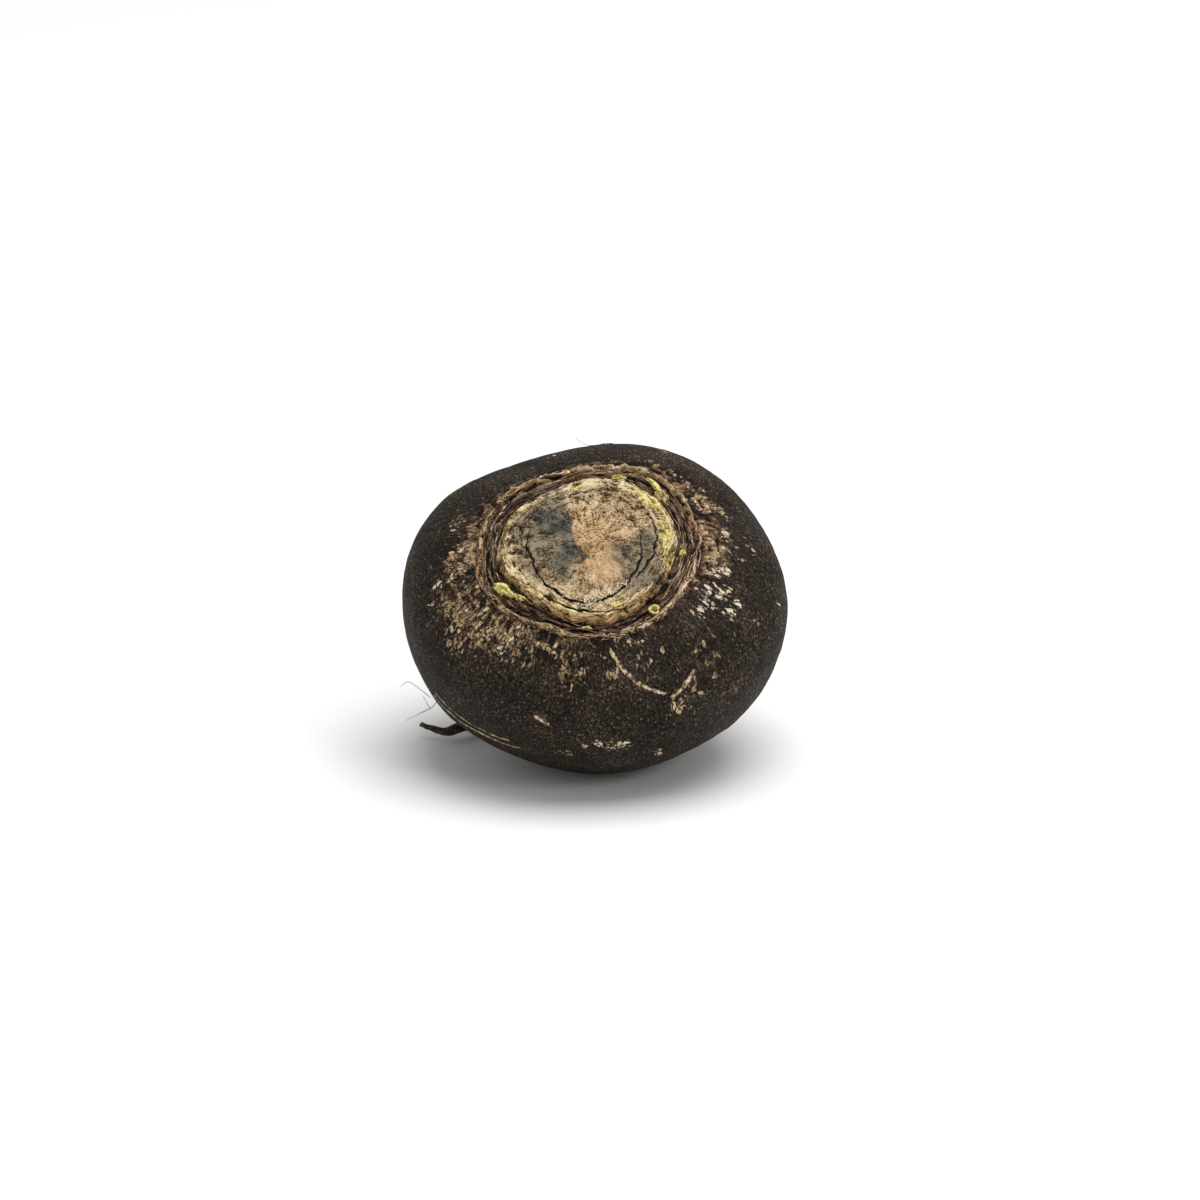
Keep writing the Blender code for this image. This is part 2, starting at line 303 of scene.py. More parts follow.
@dataclass(frozen=True)
class RootForm:
    """The squat turned form of the root, its swellings, and how it lies. Millimetres and degrees."""

    centre: tuple[float, float, float] = (-1.8, 2.0, 39.2)
    tip_forward: float = 33.0
    lean_right: float = 2.9
    equator_radius: float = 46.6
    crown_height: float = 26.2
    root_height: float = 34.5
    fullness: float = 2.2
    dimple_depth: float = 0.3
    # The latitude with no dimples, and how far below it they are at full depth
    dimple_end: float = 60.0
    dimple_fade: float = 30.0
    neck_latitude: float = -80.0
    # Azimuth, latitude, rise and spread
    swellings: Rows = (
        (65, 12, 3.0, 26),
        (110, 12, -3.7, 24),
        (150, 15, 1.2, 26),
        (190, 0, 0.7, 25),
        (-5, 0, 2.9, 28),
        (-90, -20, -3.0, 30),
        (-145, -18, -2.8, 28),
        (-147, -23, 2.1, 13),
        (-40, -20, -0.9, 26),
        (-90, -48, 2.2, 24),
        (0, -50, 1.6, 26),
        (-90, -80, 4.0, 20),
    )
    # Radius and height where the body runs out into the taproot
    neck: Rows = ((4.6, -34.7), (3.4, -36.2), (2.9, -38.0), (0.0, -38.0))
    wobble_waves: tuple[int, ...] = (2, 3, 5, 8, 13)
    # Where the crown's outer ring leaves its circle: azimuth, distance outwards and spread
    crown_bays: Rows = ((208, 2.3, 17), (-15, -1.9, 42))
    # How far the shoulder falls for each millimetre outwards at the ring
    shoulder_fall: float = 0.34

    def lie(self) -> Matrix:
        """The matrix that lays the upright root down, in millimetres."""
        tip = Matrix.Rotation(math.radians(self.tip_forward), 4, "X")
        lean = Matrix.Rotation(math.radians(self.lean_right), 4, "Y")
        return Matrix.Translation(self.centre) @ lean @ tip

    def on_table(self, own: Places) -> Places:
        """Table places in metres from own places in millimetres."""
        matrix = np.array(self.lie())
        return (own @ matrix[:3, :3].T + matrix[:3, 3]) * MM

    def reach(self, latitude: Numbers) -> Numbers:
        """Distance from the centre to the plain turned flank.

        Args:
            latitude: degrees above the equator.

        Returns:
            A distance for each latitude.
        """
        height = np.where(latitude > 0, self.crown_height, self.root_height)
        across = np.abs(np.cos(np.radians(latitude))) / self.equator_radius
        along = np.abs(np.sin(np.radians(latitude))) / height
        return (across ** self.fullness + along ** self.fullness) ** (-1 / self.fullness)

    def turned(self, latitude: Numbers) -> tuple[Numbers, Numbers]:
        """Radius and height of the turned form at a latitude, the neck included.

        Args:
            latitude: degrees above the equator.

        Returns:
            Distances from the axis, and heights along it.
        """
        reach = self.reach(latitude)
        radius, height = reach * np.cos(np.radians(latitude)), reach * np.sin(np.radians(latitude))
        edge = self.reach(np.array([self.neck_latitude]))[0]
        angle = math.radians(self.neck_latitude)
        rows = ((edge * math.cos(angle), edge * math.sin(angle)), *self.neck)
        steps = -np.linspace(self.neck_latitude, -90, len(rows))
        on_neck = latitude < self.neck_latitude
        return (np.where(on_neck, np.interp(-latitude, steps, [row[0] for row in rows]), radius),
                np.where(on_neck, np.interp(-latitude, steps, [row[1] for row in rows]), height))

    def swelling(self, way: Places) -> Numbers:
        """How far the flesh stands out from the turned form in a direction.

        Args:
            way: unit directions from the centre, a row each.

        Returns:
            A distance for each direction.
        """
        total = np.zeros(len(way))
        for azimuth, latitude, rise, spread in self.swellings:
            middle = directions(np.array(azimuth), np.array(latitude))
            away = np.degrees(np.arccos(np.clip(way @ middle, -1, 1)))
            total += rise * bell(away, spread)
        return total

    def dimples(self, azimuth: Numbers, latitude: Numbers) -> Numbers:
        """Shallow unevenness of the skin, none at the crown."""
        fade = np.clip((self.dimple_end - latitude) / self.dimple_fade, 0, 1)
        a, b = np.radians(azimuth), np.radians(latitude)
        return self.dimple_depth * fade * np.cos(b) * np.sin(5 * a + 3 * b + 1.3) * np.sin(6 * b - 2 * a)

    def wobble(self, azimuth: Numbers, phase: Numbers) -> Numbers:
        """An uneven wave between about -1 and 1 that closes on itself round the crown."""
        a = np.radians(azimuth)
        return sum(np.sin(n * a + phase * n) / math.sqrt(n) for n in self.wobble_waves) / 2

    def crown_shift(self, azimuth: Numbers) -> Numbers:
        """How far the crown's outer ring stands outside its circle."""
        return bays(azimuth, self.crown_bays)

    def grown(self, azimuth: Numbers, radius: Numbers, height: Numbers,
              aside: Numbers = 0.0, up: Numbers = 0.0) -> Places:
        """Where the flesh really is, for a place of the turned form.

        Args:
            azimuth: degrees round the axis.
            radius: distance from the axis.
            height: height along the axis.
            aside: a further shift away from the axis.
            up: a further shift along the axis.

        Returns:
            Own places.
        """
        flat = directions(azimuth, np.zeros_like(azimuth))
        place = flat * radius[:, None] + UP * height[:, None]
        way = place / np.maximum(np.linalg.norm(place, axis=1), 1e-9)[:, None]
        latitude = np.degrees(np.arctan2(height, radius))
        out = self.swelling(way) + self.dimples(azimuth, latitude)
        moved = flat * (radius + aside)[:, None] + UP * (height + up)[:, None]
        return moved + way * out[:, None]

    def surface(self, azimuth: float, latitude: float) -> Vector:
        """An own place on the flank."""
        at = np.array([float(azimuth)])
        radius, height = self.turned(np.array([float(latitude)]))
        return Vector(self.grown(at, radius, height)[0])


# Finishes


def linear(code: str, alpha: float = 1.0) -> tuple[float, float, float, float]:
    """A linear colour from an sRGB hex code."""
    shares = [int(code[i:i + 2], 16) / 255 for i in (0, 2, 4)]
    flat = [share / 12.92 if share <= 0.04045 else ((share + 0.055) / 1.055) ** 2.4 for share in shares]
    return (*flat, alpha)


def new_material(name: str) -> tuple[Material, Tree]:
    """An empty node material.

    Args:
        name: the material's name.

    Returns:
        The material and its node tree.
    """
    material = bpy.data.materials.new(name)
    material.use_nodes = True
    material.node_tree.nodes.clear()
    return material, material.node_tree


def add(tree: Tree, kind: str, inputs: dict[str | int, Source] | None = None,
        stops: tuple[tuple[float, str], ...] = (), **settings: object) -> bpy.types.Node:
    """Adds one node with its settings and links.

    Args:
        tree: the node tree.
        kind: the node's type, without the words ShaderNode.
        inputs: names or numbers of sockets, each with a value, a socket, or a node for its first output.
        stops: places and sRGB hex codes, for a colour ramp.
        **settings: the node's own properties.

    Returns:
        The node.
    """
    node = tree.nodes.new("ShaderNode" + kind)
    for name, value in settings.items():
        setattr(node, name, value)
    for key, value in (inputs or {}).items():
        if isinstance(value, bpy.types.Node):
            value = next(socket for socket in value.outputs if socket.enabled)
        if isinstance(value, bpy.types.NodeSocket):
            tree.links.new(value, node.inputs[key])
        else:
            node.inputs[key].default_value = value
    if stops:
        ramp = node.color_ramp
        while len(ramp.elements) < len(stops):
            ramp.elements.new(1.0)
        for element, (position, code) in zip(ramp.elements, stops):
            element.position = position
            element.color = linear(code)
    return node


def sum_of(tree: Tree, start: Source, *parts: tuple[Source, float]) -> Source:
    """A number with several others added, each times its own factor.

    Args:
        tree: the node tree.
        start: the first number.
        *parts: the others, each with its factor.

    Returns:
        The sum.
    """
    total = start
    for value, factor in parts:
        total = add(tree, "Math", {0: value, 1: factor, 2: total}, operation="MULTIPLY_ADD")
    return total


def pulled(tree: Tree, vector: Source, scale: tuple[float, float, float], by: Source, far: float) -> Source:
    """A scaled vector that is pulled about by a noise's colour.

    Args:
        tree: the node tree.
        vector: the vector.
        scale: its scale.
        by: the noise's colour.
        far: how far it is pulled, after scaling.

    Returns:
        The vector.
    """
    grid = add(tree, "Mapping", {"Vector": vector, "Scale": scale})
    away = add(tree, "VectorMath", {0: by, 1: (0.5, 0.5, 0.5)}, operation="SUBTRACT")
    return add(tree, "VectorMath", {0: away, 1: (far, far, far), 2: grid}, operation="MULTIPLY_ADD")


def in_millimetres(tree: Tree) -> Source:
    """Places in millimetres."""
    place = add(tree, "TexCoord").outputs["Object"]
    return add(tree, "Mapping", {"Vector": place, "Scale": (1 / MM, 1 / MM, 1 / MM)})


@dataclass(frozen=True)
class Coat:
    """The last part of each finish: a matt plant surface with fine relief."""

    roughness: float
    specular: float
    relief_mm: float

    def close(self, tree: Tree, colour: Source, height: Source) -> None:
        """Links colour and relief to the surface.

        Args:
            tree: the node tree.
            colour: the base colour.
            height: relief from 0 to 1.
        """
        bump = add(tree, "Bump", {"Height": height, "Strength": 1.0, "Distance": self.relief_mm * MM})
        shader = add(tree, "BsdfPrincipled", {
            "Base Color": colour,
            "Roughness": self.roughness,
            "Specular IOR Level": self.specular,
            "Normal": bump,
        })
        add(tree, "OutputMaterial", {"Surface": shader})


@dataclass(frozen=True)
class CorkSkin:
    """Black radish periderm: a thin dry cork skin, cracked into cells as the root swelled.

    Nearly black and matt, with a fine leathery grain that runs out from the crown. Where the skin has torn
    and healed, each cell shows the tan cork below.
    """

    # Attributes with the lines of the scars
    scars: tuple[str, ...]
    coat: Coat = Coat(roughness=0.62, specular=0.07, relief_mm=0.30)
    # Healed cells and flecks between the cracks, how wide they crowd together, and their mottling
    cell_mm: float = 1.4
    fleck_mm: float = 0.85
    crowd_mm: float = 3.4
    mottle_mm: float = 0.45
    # The leathery grain. Real cork grit is under 0.1 mm, too fine to show, so it is drawn coarser.
    grain_mm: float = 0.6
    grit_mm: float = 0.42
    # Pebbling, paler specks, broad patches, and the waves that bend all of these
    pebble_mm: float = 0.95
    dust_mm: float = 0.9
    cloud_mm: float = 11.0
    warp_mm: float = 2.2
    # A scar's ragged edge, its change of width, and its gaps
    scar_edge_mm: float = 0.7
    scar_width_mm: float = 3.2
    scar_gap_mm: float = 1.1
    # Millimetres round the root for each unit of the ring's cosine
    round_mm: float = 44.0

    def made(self) -> Material:
        """Builds the finish.

        Returns:
            The material.
        """
        material, tree = new_material("black_radish_skin")
        in_mm = in_millimetres(tree)
        ring = add(tree, "Attribute", attribute_name="ring").outputs["Vector"]
        healed, cream, warm, fold = (add(tree, "Attribute", attribute_name=name).outputs["Fac"]
                                     for name in ("healed", "cream", "warm", "fold"))
        warp = add(tree, "TexNoise", {"Vector": in_mm, "Scale": 1 / self.warp_mm, "Detail": 3.0})
        warp = warp.outputs["Color"]
        along = pulled(tree, ring, (self.round_mm, self.round_mm, 1.0), warp, 1.4)
        fine = add(tree, "TexNoise", {"Vector": along, "Scale": 1 / self.grain_mm, "Detail": 4.0,
                                      "Roughness": 0.68})
        grit = add(tree, "TexNoise", {"Vector": in_mm, "Scale": 1 / self.grit_mm, "Detail": 1.0,
                                      "Roughness": 0.6})

        # Brown bark round the crown
        colour = self.ground(tree, in_mm, along, fine)
        bark_tone = sum_of(tree, -0.40, (fine, 0.8), (fold, 0.6), (grit, 0.4))
        bark = add(tree, "ValToRGB", {"Fac": bark_tone},
                   stops=((0.25, "140D08"), (0.42, "3E3023"), (0.58, "7E654A"), (0.76, "C2A785")))
        barky = add(tree, "MapRange", {"Value": sum_of(tree, 0.0, (warm, 1.0), (fine, 0.4)),
                                       "From Min": 0.35, "From Max": 0.95})
        colour = add(tree, "Mix", {"Factor": barky, "A": colour, "B": bark}, data_type="RGBA")

        # Small flecks, large cells, and painted shade in the creases between folds
        colour, flecks = self.cells(tree, colour, ring, warp, in_mm, healed, cream, self.fleck_mm, 0.50)
        colour, cells = self.cells(tree, colour, ring, warp, in_mm, healed, cream, self.cell_mm, 1.0)
        height = add(tree, "Math", {0: cells, 1: flecks}, operation="MAXIMUM")
        folded = sum_of(tree, 0.0, (warm, 1.0), (healed, 0.6), (cream, -0.7))
        low = add(tree, "MapRange", {"Value": fold, "From Min": 0.12, "From Max": 0.36,
                                     "To Min": 1.0, "To Max": 0.0})
        near = add(tree, "MapRange", {"Value": folded, "From Min": 0.05, "From Max": 0.4})
        # Painted shade: the skin is darkened in the folds' valleys, near the bark and the healed cells
        fold_valley_shade = add(tree, "Math", {0: low, 1: near}, operation="MULTIPLY")
        painted_crease_shade = add(tree, "Math", {0: fold_valley_shade, 1: 0.85}, operation="MULTIPLY")
        colour = add(tree, "Mix", {"Factor": painted_crease_shade, "A": colour, "B": linear("120C08")}, data_type="RGBA")
        for name in self.scars:
            colour, height = self.scar(tree, name, in_mm, colour, height)
        self.coat.close(tree, colour, sum_of(tree, 0.0, (height, 0.55), (fine, 1.0), (grit, 0.25)))
        return material

    def ground(self, tree: Tree, in_mm: Source, along: Source, fine: Source) -> Source:
        """The black-brown skin: broad patches, a leathery grain and a few paler specks.

        Args:
            tree: the node tree.
            in_mm: places in millimetres.
            along: places in the crown's round and away from it, in millimetres.
            fine: the skin's fine grain.

        Returns:
            The colour.
        """
        broad = add(tree, "TexNoise", {"Vector": in_mm, "Scale": 1 / self.cloud_mm, "Detail": 4.0,
                                       "Roughness": 0.6})
        net = add(tree, "TexVoronoi", {"Vector": along, "Scale": 1 / self.pebble_mm, "Randomness": 1.0},
                  feature="DISTANCE_TO_EDGE")
        pebble = add(tree, "MapRange", {"Value": net, "From Min": 0.03, "From Max": 0.24})
        tone = sum_of(tree, -0.403, (fine, 1.32), (pebble, 0.12), (broad, 0.34))
        colour = add(tree, "ValToRGB", {"Fac": tone}, stops=(
            (0.25, "0D0A07"), (0.38, "1B1611"), (0.50, "2B241D"), (0.62, "40372F"), (0.78, "786B5C")))
        cell = add(tree, "TexVoronoi", {"Vector": in_mm, "Scale": 1 / self.dust_mm})
        chance = add(tree, "SeparateColor", {"Color": cell.outputs["Color"]})
        near = add(tree, "MapRange", {"Value": cell, "From Min": 0.10, "From Max": 0.24,
                                      "To Min": 1.0, "To Max": 0.0})
        rare = add(tree, "MapRange", {"Value": chance, "From Min": 0.89, "From Max": 0.97, "To Max": 0.75})
        dust = add(tree, "Math", {0: near, 1: rare}, operation="MULTIPLY")
        return add(tree, "Mix", {"Factor": dust, "A": colour, "B": linear("B0A48F")}, data_type="RGBA")

    def cells(self, tree: Tree, colour: Source, ring: Source, warp: Source, in_mm: Source, healed: Source,
              cream: Source, size: float, strength: float) -> tuple[Source, Source]:
        """Healed cells of cork, each shown or not by chance, more often where the skin has healed.

        Args:
            tree: the node tree.
            colour: the skin's colour so far.
            ring: places in the crown's round and away from it.
            warp: a noise's colour that bends the cells.
            in_mm: places in millimetres.
            healed: the share of healed cells, 0 to 1.
            cream: how pale they are, 0 to 1.
            size: the cells' size in millimetres.
            strength: how strongly they show.

        Returns:
            The colour with the cells, and their relief.
        """
        bent = pulled(tree, ring, (self.round_mm, self.round_mm, 0.8), warp, 1.5 * size)
        cell = add(tree, "TexVoronoi", {"Vector": bent, "Scale": 1 / size, "Randomness": 0.8})
        edge = add(tree, "TexVoronoi", {"Vector": bent, "Scale": 1 / size, "Randomness": 0.8},
                   feature="DISTANCE_TO_EDGE")
        chance = add(tree, "SeparateColor", {"Color": cell.outputs["Color"]}).outputs
        mottled = add(tree, "TexNoise", {"Vector": in_mm, "Scale": 1 / self.mottle_mm, "Detail": 2.0,
                                         "Roughness": 0.6})
        patch = add(tree, "TexNoise", {"Vector": in_mm, "Scale": 1 / self.crowd_mm, "Detail": 2.0,
                                       "Roughness": 0.6})
        crowd = add(tree, "MapRange", {"Value": patch, "From Min": 0.36, "From Max": 0.56,
                                       "To Min": 0.55, "To Max": 1.25})
        wanted = add(tree, "Math", {0: healed, 1: crowd}, operation="MULTIPLY")
        alive = add(tree, "MapRange", {"Value": sum_of(tree, 0.0, (wanted, 1.0), (chance["Red"], -1.0)),
                                       "From Min": 0.0, "From Max": 0.06})
        inside = add(tree, "MapRange", {"Value": sum_of(tree, -0.11, (edge, 1.0), (mottled, 0.12)),
                                        "From Min": 0.05, "From Max": 0.13})
        mask = add(tree, "Math", {0: alive, 1: inside}, operation="MULTIPLY")
        share = add(tree, "Math", {0: mask, 1: strength}, operation="MULTIPLY")
        rim = add(tree, "MapRange", {"Value": edge, "From Min": 0.10, "From Max": 0.34,
                                     "To Min": 1.0, "To Max": 0.0})
        tint = sum_of(tree, -0.075, (rim, 0.16), (chance["Green"], 0.36), (mottled, 0.62), (cream, 0.34))
        tan = add(tree, "ValToRGB", {"Fac": tint}, stops=(
            (0.15, "32241A"), (0.31, "6B523C"), (0.46, "A88964"), (0.64, "D2B994"), (0.88, "DCCFB6")))
        return add(tree, "Mix", {"Factor": share, "A": colour, "B": tan}, data_type="RGBA"), share

    def scar(self, tree: Tree, name: str, in_mm: Source, colour: Source,
             height: Source) -> tuple[Source, Source]:
        """A healed scratch, along the line that the piece's attribute gives.

        Args:
            tree: the node tree.
            name: the attribute with the place along, across and the half width there.
            in_mm: places in millimetres.
            colour: the skin's colour so far.
            height: the skin's relief so far.

        Returns:
            Colour and relief with the scar.
        """
        line = add(tree, "Attribute", attribute_name=name).outputs["Vector"]
        parts = add(tree, "SeparateXYZ", {"Vector": line}).outputs
        kinds = ((self.scar_edge_mm, 4.0, 0.8), (self.scar_width_mm, 1.0, 0.6), (self.scar_gap_mm, 2.0, 0.6))
        ragged, slow, broken = (
            add(tree, "TexNoise", {"Vector": in_mm, "Scale": 1 / size, "Detail": detail, "Roughness": uneven})
            for size, detail, uneven in kinds)
        across = sum_of(tree, -0.7, (parts["Y"], 1.0), (ragged, 1.4))
        away = add(tree, "Math", {0: across}, operation="ABSOLUTE")
        wide = sum_of(tree, -0.35, (parts["Z"], 1.0), (slow, 0.75))
        mask = add(tree, "MapRange", {"Value": sum_of(tree, 0.0, (wide, 1.0), (away, -1.0)),
                                      "From Min": -0.05, "From Max": 0.12})
        gaps = add(tree, "MapRange", {"Value": broken, "From Min": 0.32, "From Max": 0.47, "To Min": 0.30})
        share = add(tree, "Math", {0: mask, 1: gaps}, operation="MULTIPLY")
        tan = add(tree, "ValToRGB", {"Fac": broken},
                  stops=((0.35, "6E5741"), (0.5, "B39872"), (0.65, "E6D6BC")))
        colour = add(tree, "Mix", {"Factor": share, "A": colour, "B": tan}, data_type="RGBA")
        return colour, add(tree, "Math", {0: height, 1: share}, operation="MAXIMUM")


@dataclass(frozen=True)
class CrownCork:
    """The crown's cork: the healed scar where the leaves grew, dry, fibrous and granular.

    Tan in the middle with grey mould stains, green-yellow where stalk flesh is left, and brown in the groove.
    Painted shade darkens the groove and the relief's hollows, and painted light brightens the crests.
    """

    coat: Coat = Coat(roughness=0.75, specular=0.16, relief_mm=0.30)
    # Real cork grit is about 0.1 mm, too fine to show, so it is drawn coarser
    grit_mm: float = 0.52
    blotch_mm: float = 3.0
    warp_mm: float = 2.0
    # The way out from the middle that the colours below are spread over
    edge_mm: float = 28.0
    # Attribute, colour, and where its edge begins and ends
    marks: tuple[tuple[str, str, float, float], ...] = (
        ("stain", "9C907B", 0.20, 0.70),
        ("blue", "626460", 0.28, 0.80),
        ("green", "F4E69A", 0.25, 0.75),
        ("pale", "F4E1C4", 0.25, 0.80),
    )

    def made(self) -> Material:
        """Builds the finish.

        Returns:
            The material.
        """
        material, tree = new_material("crown_cork")
        in_mm = in_millimetres(tree)
        ring, round_crown = (add(tree, "Attribute", attribute_name=name).outputs["Vector"]
                             for name in ("ring", "round"))
        away = add(tree, "SeparateXYZ", {"Vector": ring}).outputs["Z"]
        warp = add(tree, "TexNoise", {"Vector": in_mm, "Scale": 1 / self.warp_mm, "Detail": 2.0})
        warp = warp.outputs["Color"]
        grit = add(tree, "TexNoise", {"Vector": in_mm, "Scale": 1 / self.grit_mm, "Detail": 4.0,
                                      "Roughness": 0.8})
        blotch = add(tree, "TexNoise", {"Vector": in_mm, "Scale": 1 / self.blotch_mm, "Detail": 3.0,
                                        "Roughness": 0.6})
        strand = add(tree, "TexNoise", {"Vector": pulled(tree, round_crown, (5, 5, 2.4), warp, 0.5),
                                        "Scale": 1.0, "Detail": 3.0, "Roughness": 0.7})
        ray = add(tree, "TexNoise", {"Vector": pulled(tree, ring, (24, 24, 0.7), warp, 0.7),
                                     "Scale": 1.0, "Detail": 2.0, "Roughness": 0.6})

        # Colours from the middle outwards, then the marks over them
        spread = sum_of(tree, -0.5, (away, 1.0), (blotch, 1.0))
        zone = add(tree, "Math", {0: spread, 1: 1 / self.edge_mm}, operation="MULTIPLY")
        colour = add(tree, "ValToRGB", {"Fac": zone}, stops=(
            (0.0, "D9B98D"), (0.30, "DABD96"), (0.50, "D7C2A0"), (0.60, "CBB792"), (0.70, "E0CDA4"),
            (0.74, "FBE7BC"), (0.778, "F0D096"), (0.792, "A98C6A"), (0.81, "97806D"), (0.88, "988270"),
            (0.92, "A88B70"), (0.948, "F0CEA6"), (0.975, "8A6F56")))
        for name, code, low, high in self.marks:
            mark = add(tree, "Attribute", attribute_name=name).outputs["Fac"]
            edge = sum_of(tree, -0.40, (mark, 1.0), (blotch, 0.3), (grit, 0.56))
            share = add(tree, "MapRange", {"Value": edge, "From Min": low, "From Max": high})
            colour = add(tree, "Mix", {"Factor": share, "A": colour, "B": linear(code)}, data_type="RGBA")

        # Light and dark: painted light on the relief's crests and painted shade in its hollows, grit
        # everywhere, rays on the disc, strands on the rim and its wall
        crest, still, crack = (add(tree, "Attribute", attribute_name=name).outputs["Fac"]
                               for name in ("tone", "calm", "crack"))
        fibrous = add(tree, "MapRange", {"Value": zone, "From Min": 0.50, "From Max": 0.62})
        streaks = add(tree, "Mix", {"Factor": fibrous, "A": ray, "B": strand}, data_type="FLOAT")
        above = add(tree, "MapRange", {"Value": zone, "From Min": 0.69, "From Max": 0.73})
        below = add(tree, "MapRange", {"Value": zone, "From Min": 0.79, "From Max": 0.81,
                                       "To Min": 1.0, "To Max": 0.0})
        on_wall = add(tree, "Math", {0: above, 1: below}, operation="MULTIPLY")
        layers = add(tree, "Math", {0: on_wall, 1: sum_of(tree, -0.5, (strand, 1.0))}, operation="MULTIPLY")
        tone = sum_of(tree, -1.37, (crest, 0.95), (grit, 2.30), (streaks, 0.55), (layers, 1.3))
        calm = add(tree, "Math", {0: still, 1: 0.62}, operation="MULTIPLY")
        tone = add(tree, "Mix", {"Factor": calm, "A": tone, "B": 0.67}, data_type="FLOAT")
        shade = add(tree, "ValToRGB", {"Fac": tone}, stops=(
            (0.10, "17100B"), (0.26, "5C4B3B"), (0.42, "A39481"), (0.58, "D6CDBF"), (0.80, "FFFFFF")))
        colour = add(tree, "Mix", {"Factor": 1.0, "A": colour, "B": shade}, data_type="RGBA",
                     blend_type="MULTIPLY")
        # The cracks, knots and the painted shadow beside the right crack, darkened towards near black
        dark_marks_and_shadow_share = add(tree, "MapRange", {"Value": sum_of(tree, -0.2, (crack, 1.0), (grit, 0.4)),
                                            "From Min": 0.30, "From Max": 0.62})
        colour = add(tree, "Mix", {"Factor": dark_marks_and_shadow_share, "A": colour, "B": linear("100B08")},
                     data_type="RGBA")
        self.coat.close(tree, colour, sum_of(tree, 0.0, (grit, 0.9), (streaks, 0.8)))
        return material


@dataclass(frozen=True)
class PlantFibre:
    """Dry or fresh plant fibre in three tones, mottled along its length."""

    name: str
    dark: str
    middle: str
    light: str
    mottle_mm: float = 1.2
    # Single plant fibres are a few hundredths of a millimetre, too fine to show, so they are drawn coarser
    grit_mm: float = 0.3
    coat: Coat = Coat(roughness=0.7, specular=0.3, relief_mm=0.08)

    def made(self) -> Material:
        """Builds the finish.

        Returns:
            The material.
        """
        material, tree = new_material(self.name)
        in_mm = in_millimetres(tree)
        mottle = add(tree, "TexNoise", {"Vector": in_mm, "Scale": 1 / self.mottle_mm, "Detail": 3.0,
                                        "Roughness": 0.65})
        colour = add(tree, "ValToRGB", {"Fac": mottle},
                     stops=((0.34, self.dark), (0.50, self.middle), (0.64, self.light)))
        grit = add(tree, "TexNoise", {"Vector": in_mm, "Scale": 1 / self.grit_mm, "Detail": 2.0})
        self.coat.close(tree, colour, grit)
        return material


# Pieces


@dataclass(frozen=True)
class Patch:
    """A soft patch on the skin: where its middle is, and how far it spreads in millimetres."""

    azimuth: float
    latitude: float
    wide: float
    tall: float
    strength: float

    def share(self, azimuth: Numbers, latitude: Numbers, radius: Numbers) -> Numbers:
        """How strong the patch is at each vertex."""
        sideways = np.radians(turn_gap(azimuth, self.azimuth)) * radius
        upwards = np.radians(latitude - self.latitude) * FLANK_MM
        return self.strength * np.exp(-0.5 * ((sideways / self.wide) ** 2 + (upwards / self.tall) ** 2))


@dataclass(frozen=True)
class Scar:
    """A healed scratch through places on the skin, given by azimuth and latitude."""

    name: str
    places: Rows
    half_width: float
    # How far the scar fades beyond its ends, and how far within them it is whole
    beyond: float = 0.9
    within: float = 0.5
    # What is added across it on the root's other side, so that it doesn't show there
    elsewhere: float = 100.0

    def line(self, form: RootForm, own: Places) -> Places:
        """The place along, across and the half width of the scar at each vertex, in millimetres.

        Args:
            form: the root's form.
            own: the vertices' own places.

        Returns:
            A row of three numbers for each vertex.
        """
        knots = np.array([form.surface(*place) for place in self.places])
        middle = knots.mean(0)
        outward = middle / np.linalg.norm(middle)
        chord = knots[-1] - knots[0]
        chord -= outward * (chord @ outward)
        along = chord / np.linalg.norm(chord)
        sideways = np.cross(outward, along)
        u, v = (knots - middle) @ along, (knots - middle) @ sideways
        bend = np.polyfit(u, v, min(2, len(knots) - 1))
        at, off = (own - middle) @ along, (own - middle) @ sideways
        across = (off - np.polyval(bend, at)) / np.sqrt(1 + np.polyval(np.polyder(bend), at) ** 2)
        across += self.elsewhere * ((own @ outward) < 0.5 * (middle @ outward))
        inside = smooth(at, u[0] - self.beyond, u[0] + self.within)
        inside = inside * smooth(-at, -u[-1] - self.beyond, -u[-1] + self.within)
        width = self.half_width * inside - (1 - inside)
        return np.stack([at - u[0], across, width], -1)


